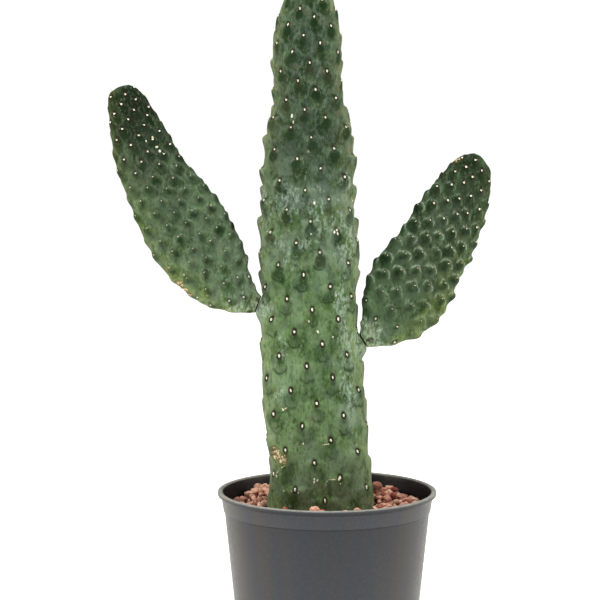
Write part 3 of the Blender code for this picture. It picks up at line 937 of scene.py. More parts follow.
@dataclass
class Limb:
    """A stem or pad: a closed loft of rings from its tip down to its foot, with tubercles on a spiral."""

    node: str
    finish: SkinFinish
    shape: TubercleShape
    first_angle: float
    columns: int
    reach: int
    seed: int
    power: float
    marks: Table
    greens: Table
    areoles: tuple[AreoleSize, ...]
    scars: tuple[Scar, ...] = ()
    joints: tuple[Joint, ...] = ()
    pit: float = 0.0
    pit_width: float = 1.5
    bands: Table = ()
    band_blend: float = 0.05
    place_jitter: float = 0.05
    height_jitter: float = 0.3
    tone_jitter: float = 0.15
    halo_rise: float = 0.0002
    halo_squash: float = 0.68
    halo_reach: Span = (1.7, 2.7)
    areole_squash: float = 0.75
    knob_squash: float = 0.8
    softness: Span = (0.55, 1.12)
    bend_share: float = 0.04
    bend_waves: Span = (0.006, 0.017)
    lump_waves: Span = (0.018, 0.045)
    lump_height: float = 0.0002
    edge_calm: float = 0.0
    edge_power: int = 6
    stub_bloom: float = 0.0
    tufts: Table = ()
    spines: Table = ()
    shaded_rim: float = 0.6
    shaded_rim_reach: Span = (0.95, 0.995)
    front_gain: float = 0.0
    girth_samples: int = 64
    numbers: Grid = field(init=False)
    shares: Grid = field(init=False)
    angles: Grid = field(init=False)
    points: Grid = field(init=False)
    normals: Grid = field(init=False)
    girths: Grid = field(init=False)
    rises: Grid = field(init=False)
    count: int = field(init=False)

    def ring(self, number: float, angles: Grid) -> tuple[Grid, float, float]:
        """Plain section at a number: its points, its girth and how far one number climbs there."""
        raise NotImplementedError

    def share(self, number: Grid) -> Grid:
        """Share of the way from the foot to the tip, which each kind of limb gives."""
        raise NotImplementedError

    def relief(self, share: Grid) -> Grid:
        """How far the tubercles stand out in metres, which each kind of limb gives."""
        raise NotImplementedError

    def ends(self) -> tuple[Vector, Vector]:
        """The points that close the tip and the foot."""
        raise NotImplementedError

    def section(self, angles: Grid, half_width: float, half_depth: float) -> tuple[Grid, Grid, float]:
        """Flattened section with its points equally far apart along the girth.

        Args:
            angles: Shares of the girth, in radians from the front.
            half_width: Half of the broad way.
            half_depth: Half of the narrow way.

        Returns:
            The places across and out, and the girth.
        """
        turn = np.linspace(0.0, math.pi / 2, self.girth_samples)
        across = half_width * np.abs(np.sin(turn)) ** (2 / self.power)
        out = half_depth * np.abs(np.cos(turn)) ** (2 / self.power)
        lengths = np.concatenate(([0.0], np.cumsum(np.hypot(np.diff(across), np.diff(out)))))
        quarters = angles / math.tau % 1.0 * 4
        quarter = np.minimum(quarters.astype(int), 3)
        part = quarters - quarter
        part = np.where(quarter % 2 == 0, part, 1.0 - part) * lengths[-1]
        right, front = np.interp(part, lengths, across), np.interp(part, lengths, out)
        right = np.where(quarter >= 2, -right, right)
        front = np.where((quarter == 0) | (quarter == 3), -front, front)
        return right, front, 4 * float(lengths[-1])

    def lay_out(self) -> None:
        """Works out the plain rings, their girths and the way out of the skin."""
        self.shares = self.share(self.numbers)
        self.angles = np.arange(self.columns) / self.columns * math.tau
        rings = zip(*(self.ring(float(number), self.angles) for number in self.numbers))
        self.points, self.girths, self.rises = (np.array(part) for part in rings)
        around = np.roll(self.points, -1, axis=1) - np.roll(self.points, 1, axis=1)
        upward = -np.gradient(self.points, axis=0)
        normals = np.cross(around, upward)
        self.normals = normals / np.maximum(np.linalg.norm(normals, axis=2, keepdims=True), TINY)

    def jitter(self) -> Grid:
        """Three random numbers for each tubercle: across, along and how far it stands out."""
        return np.random.default_rng(self.seed).uniform(-1.0, 1.0, (self.count + 1, 3))

    def survey(self) -> Nearby:
        """Looks at the tubercles round each point of the skin.

        Returns:
            What they do there.
        """
        near = Nearby(self.points.shape[:2])
        jitter = self.jitter()
        numbers = self.numbers[:, None]
        girths, rises = self.girths[:, None], self.rises[:, None]
        spacing = np.sqrt(girths * rises)
        bends = (self.waves(self.seed + extra, *self.bend_waves) for extra in (1, 2))
        bend_across, bend_along = (bend * self.bend_share for bend in bends)
        for step in range(-self.reach, self.reach + 1):
            other = np.floor(numbers) + step
            index = np.clip(other, 0, self.count).astype(int)
            there = (other >= 0) & (other <= self.count)
            turn = wrapped(self.angles - self.first_angle + TURN_PER_TUBERCLE * other)
            across = turn / math.tau * girths / spacing + jitter[index, 0] * self.place_jitter
            along = (numbers - other) * rises / spacing + jitter[index, 1] * self.place_jitter
            height = self.shape.height(across, along) * (1.0 + jitter[index, 2] * self.height_jitter)
            tone = np.where(there, 1.0 - self.tone_jitter + self.tone_jitter * jitter[index, 0], 0.0)
            bent_across, bent_along = across + bend_across, along + bend_along
            oval = self.shape.oval(bent_across, bent_along)
            grown = {
                "height": np.where(there, height, 0.0),
                "oval": tone * (1.0 - ease(*self.softness, oval)),
                "dent_shade": tone * self.shape.dent_shade(across, along),
                "border": tone * self.shape.border(oval, along),
                "lit_crescent": tone * self.shape.lit_crescent(oval, along),
            }
            for name, values in grown.items():
                np.maximum(near.grids[name], values, out=near.grids[name])
            above = (along * spacing - self.halo_rise) * self.halo_squash
            knob = np.hypot(bent_across, (bent_along - self.shape.oval_middle) * self.knob_squash)
            knob = np.where(there, knob, FAR)
            near.second = np.minimum(near.second, np.maximum(near.first, knob))
            near.first = np.minimum(near.first, knob)
            areole = np.hypot(across, along * self.areole_squash) * spacing
            near.areole = np.minimum(near.areole, np.where(there, areole, FAR))
            near.halo = np.minimum(near.halo, np.where(there, np.hypot(across * spacing, above), FAR))
        return near

    def raise_skin(self, near: Nearby) -> None:
        """Raises the skin by its tubercles and its slow lumps, and sinks it at its scars.

        Args:
            near: What the tubercles do.
        """
        calm = 1.0 - self.edge_calm * np.abs(np.sin(self.angles)) ** self.edge_power
        amount = self.relief(self.shares)[:, None]
        amount = amount * (1.0 + self.front_gain * np.cos(self.angles) ** 2) * calm
        for joint in self.joints:
            amount *= ease(joint.half_height, joint.clear, joint.distances(self.points)[2])
        pit = hill(near.areole, self.areole_width() * self.pit_width) * (amount > TINY)
        lift = amount * near.grids["height"] - self.pit * pit
        lumps = self.waves(self.seed, *self.lump_waves) * self.lump_height
        self.points = self.points + self.normals * (lift + lumps)[..., None]
        for scar in self.scars:
            self.points = self.points - self.normals * (self.scarred(scar) * scar.depth)[..., None]

    def areole_width(self) -> Grid:
        """Half the width of an areole at each ring."""
        sizes = np.array([(size.share, size.across) for size in self.areoles])
        return np.interp(self.shares, sizes[:, 0], sizes[:, 1])[:, None]

    def mark_tubercles(self, near: Nearby) -> Grid:
        """Marks the skin round the tubercles.

        Args:
            near: What the tubercles do.

        Returns:
            A grid of four channels: dark ovals, partly painted shade; pale crescents and seams, partly
                painted highlight; dark halos; and wax bloom.
        """
        strength = follow_all(self.marks, self.shares)
        oval, dent_shade, border, lit_crescent, seam, halo, bloom = (strength[:, at : at + 1] for at in range(7))
        grids = near.grids
        marks = np.zeros((*self.points.shape[:2], 4))
        # dark ovals and the spot below the areole, then the oval's lower border: partly the skin's darker
        # green, partly painted shade under each tubercle
        dark = np.maximum(grids["oval"] * oval, grids["dent_shade"] * dent_shade)
        seams = 1.0 - ease(0.0, self.shape.seam_width, near.second - near.first)
        marks[..., 0] = np.maximum(dark, grids["border"] * border)
        # Channel 1: pale crescents and seams, partly wax, partly painted highlight on the tubercles' upper
        # edges and ridges.
        marks[..., 1] = np.maximum(grids["lit_crescent"] * lit_crescent, seams * seam)
        marks[..., 2] = (1.0 - ease(*self.halo_reach, near.halo / self.areole_width())) * halo
        marks[..., 3] = bloom
        blend = self.band_blend
        for angle, width, low, high, gain in self.bands:
            starts, ends = (ease(at - blend, at + blend, self.shares) for at in (low, high))
            away = wrapped(self.angles - math.radians(angle))
            marks[..., 3] += gain * hill(away, math.radians(width)) * (starts - ends)[:, None]
        for joint in self.joints:
            marks[..., 3] += self.stub_bloom * joint.stub(self.points)
        return marks

    def mark_limb(self) -> Grid:
        """Marks what doesn't follow the tubercles.

        Returns:
            A grid of four channels: yellower edges, on the stem also painted lighter as side light; corky
                scars; joint lines; and deep green of new growth, with painted shade along the outermost
                narrow sides.
        """
        limb = np.zeros((*self.points.shape[:2], 4))
        limb[..., 0] = self.edge_mask(self.angles, self.shares[:, None])
        for scar in self.scars:
            limb[..., 1] = np.maximum(limb[..., 1], self.scarred(scar))
        for joint in self.joints:
            limb[..., 0] = np.maximum(limb[..., 0], self.stub_bloom * joint.stub(self.points))
            limb[..., 2] = np.maximum(limb[..., 2], joint.line(self.points))
        # Painted shade: a dark line along the outermost narrow sides, laid into the deep green channel.
        shaded_rim = self.shaded_rim * ease(*self.shaded_rim_reach, np.abs(np.sin(self.angles)))
        limb[..., 3] = np.maximum(follow_all(self.greens, self.shares), shaded_rim)
        return limb

    def waves(self, seed: int, shortest: float, longest: float) -> Grid:
        """Random waves over the skin.

        Args:
            seed: Seed of the waves.
            shortest: Shortest wave.
            longest: Longest wave.

        Returns:
            Heights, mostly from -1 to 1.
        """
        draw = random.Random(seed)
        count = 6
        total = np.zeros(self.points.shape[:2])
        for _ in range(count):
            way = Vector([draw.gauss(0, 1) for _ in range(3)]).normalized()
            length = draw.uniform(shortest, longest)
            total += np.sin(self.points @ np.array(way) / length * math.tau + draw.uniform(0, math.tau))
        return total / math.sqrt(count)

    def scarred(self, scar: Scar) -> Grid:
        """Soft mask of one corky mark, from 0 to 1."""
        away = np.linalg.norm(self.points - np.array(scar.place), axis=2)
        return 1.0 - ease(scar.radius * 0.3, scar.radius, away)

    def edge_mask(self, angles: Grid, shares: Grid) -> Grid:
        """Where the yellower edges of the limb are, which on the stem are also painted lighter as side
        light, from 0 to 1.
        """
        return np.abs(np.sin(angles)) ** self.edge_power

    def loft(self, channels: dict[str, Grid]) -> Mesh:
        """Makes the skin's mesh from a sphere, whose rings take the places of the limb's.

        Args:
            channels: Attribute names and their grids.

        Returns:
            The mesh.
        """
        rows = len(self.numbers)
        bm = bmesh.new()
        bmesh.ops.create_uvsphere(bm, u_segments=self.columns, v_segments=rows + 1, radius=1.0)
        places = np.array([vert.co for vert in bm.verts])
        drop = np.arccos(np.clip(places[:, 2], -1.0, 1.0)) / math.pi
        turn = np.arctan2(places[:, 1], places[:, 0]) / math.tau
        ring = np.rint(drop * (rows + 1)).astype(int)
        column = np.rint(turn * self.columns).astype(int) % self.columns
        row = np.clip(ring - 1, 0, rows - 1)
        placed = self.points[row, column]
        placed[ring == 0], placed[ring == rows + 1] = self.ends()
        for vert, place in zip(bm.verts, placed):
            vert.co = place
        mesh = as_mesh(bm, f"{self.node}_skin", rounded=True)
        for name, grid in channels.items():
            mark_points(mesh, name, grid[row, column])
        return mesh

    def at_number(self, number: float, values: Grid) -> float:
        """Reads one of the rings' values at a tubercle number."""
        return float(np.interp(-number, -self.numbers, values))

    def find_areoles(self) -> list[Areole]:
        """Finds each areole's place and directions on the raised skin.

        Returns:
            The areoles from the foot up.
        """
        found = []
        jitter = self.jitter() * self.place_jitter
        rows = np.arange(len(self.numbers))
        for number in range(self.count + 1):
            girth, climb = self.at_number(number, self.girths), self.at_number(number, self.rises)
            spacing = math.sqrt(girth * climb)
            angle = self.first_angle - TURN_PER_TUBERCLE * number
            angle -= jitter[number, 0] * spacing / girth * math.tau
            row = self.at_number(number - jitter[number, 1] * spacing / climb, rows)
            column = angle / math.tau * self.columns % self.columns
            first = min(int(row), len(rows) - 2)
            left = int(column) % self.columns
            right = (left + 1) % self.columns
            down, over = row - first, column - int(column)
            sides = self.points[first : first + 2, [left, right]]
            upper, lower = sides[:, 0] * (1 - over) + sides[:, 1] * over
            place = Vector(upper * (1 - down) + lower * down)
            if not any(joint.covers(place) for joint in self.joints):
                share = float(self.share(np.array(float(number))))
                out = Vector(self.normals[first, left]).normalized()
                found.append(Areole.on_skin(place, out, Vector(upper - lower), share))
        return found + [self.tuft(*row) for row in self.tufts]

    def tuft(self, x: float, z: float, scale: float = 1.0) -> Areole:
        """Finds the place of an extra tuft of felt on the front of the raised skin.

        Args:
            x: Place to the right.
            z: Height.
            scale: Its size against that of an areole there.

        Returns:
            The tuft.
        """
        away = np.hypot(self.points[..., 0] - x, self.points[..., 2] - z) + (self.normals[..., 1] > 0)
        row, column = np.unravel_index(int(np.argmin(away)), away.shape)
        row = min(max(int(row), 1), len(self.numbers) - 2)
        along = Vector(self.points[row - 1, column] - self.points[row + 1, column])
        share = float(self.share(self.numbers[row]))
        place, out = Vector(self.points[row, column]), Vector(self.normals[row, column])
        return Areole.on_skin(place, out, along, share, scale)

    def shape_joints(self) -> None:
        """Changes the raised skin where the limb meets another."""

    def build(self, effects: Effects) -> list[Item]:
        """Builds the limb's skin, its areoles and its bristles.

        Args:
            effects: The shared node groups.

        Returns:
            The pieces.
        """
        self.lay_out()
        near = self.survey()
        self.raise_skin(near)
        channels = {"tubercle": self.mark_tubercles(near), "limb": self.mark_limb()}
        self.shape_joints()
        mesh = self.loft(channels)
        skin = dress(mesh, self.finish.material(mesh.name, effects))
        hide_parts(self.node)
        areoles = self.find_areoles()
        spines = [Spine(self.tuft(x, z), math.radians(turn), length) for x, z, turn, length in self.spines]
        cushions = Cushions(self.areoles, self.seed).build(areoles, self.node)
        return [skin, cushions, Bristles(self.seed).build(areoles, spines, self.node)]


@dataclass
class Trunk(Limb):
    """The upright stem."""

    # Height, middle, and half of the width and of the depth
    sections: Table = (
        (0.062, -0.0055, 0.0375, 0.0195), (0.118, -0.0048, 0.041, 0.0205), (0.135, -0.005, 0.041, 0.021),
        (0.16, -0.0056, 0.038, 0.0208), (0.185, -0.0078, 0.0388, 0.0205), (0.215, -0.0106, 0.0388, 0.02),
        (0.245, -0.0121, 0.0375, 0.0192), (0.268, -0.0141, 0.0368, 0.0188),
        (0.296, -0.014, 0.0357, 0.0184), (0.318, -0.0134, 0.0377, 0.0182),
        (0.35, -0.0151, 0.0353, 0.0176), (0.375, -0.0144, 0.034, 0.017), (0.392, -0.0146, 0.0349, 0.0165),
        (0.408, -0.0142, 0.0321, 0.0155), (0.422, -0.0143, 0.0315, 0.0145),
        (0.437, -0.0143, 0.0269, 0.0134), (0.458, -0.0153, 0.0254, 0.0128),
        (0.475, -0.0159, 0.026, 0.0125), (0.538, -0.0144, 0.0255, 0.0125),
    )
    # Height, and how far the tubercles stand out there
    heights: Table = (
        (0.12, 0.0), (0.15, 0.0018), (0.22, 0.0025), (0.3, 0.003), (0.345, 0.0041), (0.415, 0.0041),
        (0.44, 0.0026), (0.5, 0.002), (0.5365, 0.001),
    )
    foot: float = 0.062
    ground: float = 0.112
    dome: float = 0.475
    tip: float = 0.5365
    dome_power: float = 2.0
    first_tubercle: float = 0.129
    first_rise: float = 0.0027525
    rise_loss: float = 0.000002847
    row_tilt: float = 0.064
    row_step: float = 0.00122
    dome_rows: int = 60
    dome_offset: float = 0.6
    dome_spread: float = 0.9
    foot_rows: int = 8
    bare_tip: float = 0.004
    stub_middle: float = -0.0003
    stub_width: Span = (0.92, 2.1)
    stub_root: Span = (-0.022, -0.01)

    def __post_init__(self) -> None:
        """Sets the rings' numbers, close together in the dome and wide apart below the ground."""
        turns = (np.arange(self.dome_rows) + self.dome_offset) / self.dome_rows * math.pi / 2
        dome = self.dome + (self.tip - self.dome) * np.cos(turns) ** self.dome_spread
        stem = np.arange(self.dome, self.ground, -self.row_step)
        below = np.linspace(self.ground, self.foot, self.foot_rows)
        heights = np.concatenate((dome, stem, below))
        self.numbers = np.array([self.number_at(float(height)) for height in heights])
        self.count = int(self.number_at(self.tip - self.bare_tip))

    def height(self, number: Grid) -> Grid:
        """Height of an areole by its number."""
        return self.first_tubercle + self.first_rise * number - self.rise_loss * number * number

    def number_at(self, height: float) -> float:
        """Tubercle number at a height."""
        root = math.sqrt(self.first_rise**2 - 4 * self.rise_loss * (height - self.first_tubercle))
        return (self.first_rise - root) / (2 * self.rise_loss)

    def share(self, number: Grid) -> Grid:
        """Share of the way from the origin's height to the tip."""
        return self.height(number) / self.tip

    def relief(self, share: Grid) -> Grid:
        """How far the tubercles stand out."""
        return np.maximum(follow_all(self.heights, share * self.tip)[:, 0], 0.0)

    def ring(self, number: float, angles: Grid) -> tuple[Grid, float, float]:
        """Plain section of the stem.

        Args:
            number: Tubercle number, which need not be whole.
            angles: Shares of the girth, in radians from the front.

        Returns:
            The points, the girth and how far one number climbs.
        """
        height = float(self.height(number))
        middle, half_width, half_depth = follow(self.sections, height)
        if height > self.dome:
            share = min((height - self.dome) / (self.tip - self.dome), 1.0)
            dome = max(1.0 - share**self.dome_power, 0.0) ** (1 / self.dome_power)
            half_width *= dome
            half_depth *= dome
        across, out, girth = self.section(angles, half_width, half_depth)
        tilt = self.row_tilt * ease(self.foot, self.first_tubercle, height) * across
        tilt = tilt * (1.0 - ease(self.dome, self.tip, height))
        points = np.stack((middle + across, out, height + tilt), axis=1)
        return points, girth, self.first_rise - 2 * self.rise_loss * number

    def ends(self) -> tuple[Vector, Vector]:
        """The points that close the tip and the foot."""
        tip = Vector((follow(self.sections, self.tip)[0], 0.0, self.tip))
        return tip, Vector((self.sections[0][1], 0.0, self.foot))

    def shape_joints(self) -> None:
        """Draws the skin out into the short stubs that carry the pads."""
        for joint in self.joints:
            past, off, _ = joint.distances(self.points)
            share = (1.0 - ease(*self.stub_width, off)) * ease(*self.stub_root, past)
            move = (self.stub_middle - past) * share
            self.points = self.points + move[..., None] * np.array(joint.outward)


@dataclass
class Pad(Limb):
    """A flat side shoot between its upper and lower edge, each a row of (x, z) from the joint to the tip."""

    side: Side = Side.LEFT
    upper: Table = ()
    lower: Table = ()
    turn: float = 0.0
    bend: float = 0.0
    areas: Table = ()
    half_thickness: float = 0.0072
    full_width: float = 0.024
    least_girth: float = 0.02
    neck_share: float = 0.12
    rows: int = 250
    row_spread: float = 1.35
    bare_tip: float = 0.6
    samples: int = 400
    edge_near: Span = (0.04, 0.14)
    edge_fade: Span = (0.1, 0.6)
    amounts: Table = (
        (0.0, 0.0), (0.1, 0.0016), (0.25, 0.0024), (0.5, 0.0023), (0.68, 0.0013), (0.85, 0.0007),
        (1.0, 0.0003),
    )
    edges: tuple[Table, Table] = field(init=False)
    climb: Grid = field(init=False)
    climb_shares: Grid = field(init=False)

    def __post_init__(self) -> None:
        """Counts the tubercles up the pad and sets the rings' numbers, closest together at the tip."""
        last = len(self.upper) - 1
        rows = ([(row / last, *p) for row, p in enumerate(edge)] for edge in (self.upper, self.lower))
        self.edges = tuple(tuple(edge) for edge in rows)
        self.climb_shares = np.linspace(0.0, 1.0, self.samples + 1)
        numbers = [0.0]
        before = self.frame_at(0.0)
        for share in self.climb_shares[1:]:
            now = self.frame_at(float(share))
            girth = self.section(np.zeros(1), now[2], now[3])[2]
            numbers.append(numbers[-1] + girth * (now[0] - before[0]).length / self.area(float(share)))
            before = now
        self.climb = np.array(numbers)
        shares = 1.0 - ((np.arange(self.rows) + 0.5) / self.rows) ** self.row_spread
        shares[-1] = 0.0
        self.numbers = np.interp(shares, self.climb_shares, self.climb)
        self.count = int(self.climb[-1] - self.bare_tip)

    def area(self, share: float) -> float:
        """Skin that one tubercle has, in square metres."""
        return follow(self.areas, share)[0] * 1e-6

    def edge_mask(self, angles: Grid, shares: Grid) -> Grid:
        """Where the yellower lower edge is, strongest near the joint.

        Args:
            angles: Shares of the girth, in radians from the front.
            shares: Shares of the way to the tip.

        Returns:
            Values from 0 to 1.
        """
        low = np.clip(np.sin(angles) * self.side.value, 0.0, 1.0) ** 3
        near = 1.0 - ease(*self.edge_near, shares)
        return low * (1.0 - 0.8 * ease(*self.edge_fade, shares)) + near * 0.5 * (1.0 - low)

    def share(self, number: Grid) -> Grid:
        """Share of the way from the joint to the tip."""
        return np.interp(number, self.climb, self.climb_shares)

    def relief(self, share: Grid) -> Grid:
        """How far the tubercles stand out."""
        return np.maximum(follow_all(self.amounts, share)[:, 0], 0.0)

    def frame_at(self, share: float) -> tuple[Vector, Vector, float, float]:
        """Section of the pad.

        Args:
            share: Share of the way to the tip.

        Returns:
            Its middle, the way across, and half of its width and thickness.
        """
        joint = self.joints[0].middle
        ends = []
        for edge in self.edges:
            across, height = follow(edge, share)
            away = abs(across - joint.x)
            depth = math.tan(self.turn) * (across - joint.x) * self.side.value + self.bend * away * away
            ends.append(Vector((across, depth, height)))
        half = (ends[0] - ends[1]) / 2
        width = max(half.length, TINY)
        taper = 1.0 - min(width / self.full_width, 1.0)
        depth = self.half_thickness * math.sqrt(1.0 - taper * taper)
        return (ends[0] + ends[1]) / 2, half / width, width, depth

    def ring(self, number: float, angles: Grid) -> tuple[Grid, float, float]:
        """Plain section of the pad.

        Args:
            number: Tubercle number, which need not be whole.
            angles: Shares of the girth, in radians from the front.

        Returns:
            The points, the girth and how far one number climbs.
        """
        share = float(self.share(np.array(number)))
        middle, across, half_width, half_depth = self.frame_at(share)
        right, out, girth = self.section(angles, half_width, half_depth)
        neck = float(ease(0.0, self.neck_share, np.array(share)))
        facing = Vector((-math.tan(self.turn) * self.side.value * neck, 1.0, 0.0)).normalized()
        points = np.array(middle) - right[:, None] * np.array(across) * self.side.value
        points = points + out[:, None] * np.array(facing)
        return points, girth, self.area(share) / max(girth, self.least_girth)

    def ends(self) -> tuple[Vector, Vector]:
        """The points that close the tip and the joint's face."""
        return self.frame_at(1.0)[0], self.joints[0].middle.copy()


@dataclass
class Cushions:
    """Felted cushions of the areoles."""

    sizes: tuple[AreoleSize, ...]
    seed: int
    spread: float = 0.22
    sink: float = 0.25
    most_turn: float = 0.3
    shaded_rim_depth: float = 1.6
    tuft_scale: float = 900.0
    tuft_depth: float = 0.22
    twin_share: float = 0.22
    twin_size: float = 0.6
    twin_reach: Span = (2.0, 2.8)

    def size(self, share: float) -> list[float]:
        """Half a cushion's width and length, its height and how dusty it is, at a share of the limb."""
        table = np.array([(size.share, size.across, size.along, size.out, size.dim) for size in self.sizes])
        return [float(np.interp(share, table[:, 0], column)) for column in table.T[1:]]

    def with_twins(self, areoles: list[Areole], draw: random.Random) -> list[Areole]:
        """Adds a small second cushion below some areoles.

        Args:
            areoles: The areoles.
            draw: Seeded random numbers.

        Returns:
            The areoles and their twins.
        """
        twins = []
        for areole in areoles:
            if draw.random() < self.twin_share and areole.scale == 1.0:
                below = self.size(areole.share)[1] * draw.uniform(*self.twin_reach)
                place = areole.place - areole.up * below + areole.right * below * draw.uniform(-0.5, 0.5)
                twins.append(Areole(place, areole.out, areole.up, areole.share, self.twin_size))
        return areoles + twins

    def build(self, areoles: list[Areole], slot: str) -> Item:
        """Builds the cushions of one limb.

        Args:
            areoles: Where they sit.
            slot: The finish of the record that they have, and the limb's node.

        Returns:
            The piece.
        """
        draw = random.Random(self.seed)
        noise.seed_set(self.seed)
        uneven = (1 - self.spread, 1 + self.spread)
        bm = bmesh.new()
        felt = bm.verts.layers.float_color.new("felt")
        for areole in self.with_twins(areoles, draw):
            *size, dim = self.size(areole.share)
            dim = dim if areole.scale == 1.0 else 0.0
            across, along, out = (part * areole.scale * draw.uniform(*uneven) for part in size)
            turn = Matrix.Rotation(draw.uniform(-self.most_turn, self.most_turn), 3, areole.out)
            middle = areole.place - areole.out * out * self.sink
            axes = (turn @ areole.right * across, turn @ areole.up * along, areole.out * out, middle)
            shape = Matrix([*zip(*axes), (0.0, 0.0, 0.0, 1.0)])
            made = bmesh.ops.create_icosphere(bm, subdivisions=2, radius=1.0, matrix=shape)
            for vert in made["verts"]:
                away = (vert.co - middle).dot(areole.out) / out
                # First channel: painted shade on the cushion's lower part, where it meets the skin.
                vert[felt] = (1.0 - min(max(away * self.shaded_rim_depth, 0.0), 1.0), dim, 0.0, 1.0)
                vert.co += noise.noise_vector(vert.co * self.tuft_scale) * across * self.tuft_depth
        mesh = as_mesh(bm, f"{slot}_areoles", rounded=True)
        return dress(mesh, FeltFinish().material(mesh.name))


@dataclass
class Bristles:
    """Short bristles that stand out of the areoles."""

    seed: int
    radius: float = 0.00017
    tip_share: float = 0.15
    rooted: float = 0.4
    shortest: float = 0.0012
    longest: float = 0.0032
    most: int = 3
    sides: int = 5
    lowest_share: float = 0.25
    upward: Span = (0.1, 1.1)
    sideways: float = 0.8
    spine_lift: float = 0.12

    def add(self, bm: BMesh, root: Vector, way: Vector, length: float, radius: float) -> None:
        """Adds one bristle.

        Args:
            bm: Mesh that it goes into.
            root: Where it grows.
            way: Where it points.
            length: Its length.
            radius: Its radius at the root.
        """
        turn = way.to_track_quat("Z", "Y").to_matrix().to_4x4()
        shape = Matrix.Translation(root + way.normalized() * length * self.rooted) @ turn
        add_rod(bm, self.sides, (radius, radius * self.tip_share), length, shape)

    def build(self, areoles: list[Areole], spines: list[Spine], slot: str) -> Item:
        """Builds the bristles of one limb.

        Args:
            areoles: Where they stand.
            spines: Long ones that lie against the skin.
            slot: The finish of the record that they have, and the limb's node.

        Returns:
            The piece.
        """
        draw = random.Random(self.seed + 1)
        bm = bmesh.new()
        for areole in areoles:
            for _ in range(draw.randint(0 if areole.share < self.lowest_share else 1, self.most)):
                length = draw.uniform(self.shortest, self.longest)
                up, over = draw.uniform(*self.upward), draw.uniform(-self.sideways, self.sideways)
                way = areole.out + areole.up * up + areole.right * over
                self.add(bm, areole.place, way, length, self.radius)
        for spine in spines:
            root = spine.root
            flat = root.right * math.cos(spine.angle) + root.up * math.sin(spine.angle)
            way = flat + root.out * self.spine_lift
            self.add(bm, root.place + root.out * spine.radius, way, spine.length, spine.radius)
        mesh = as_mesh(bm, f"{slot}_bristles")
        return dress(mesh, BristleFinish().material(mesh.name))


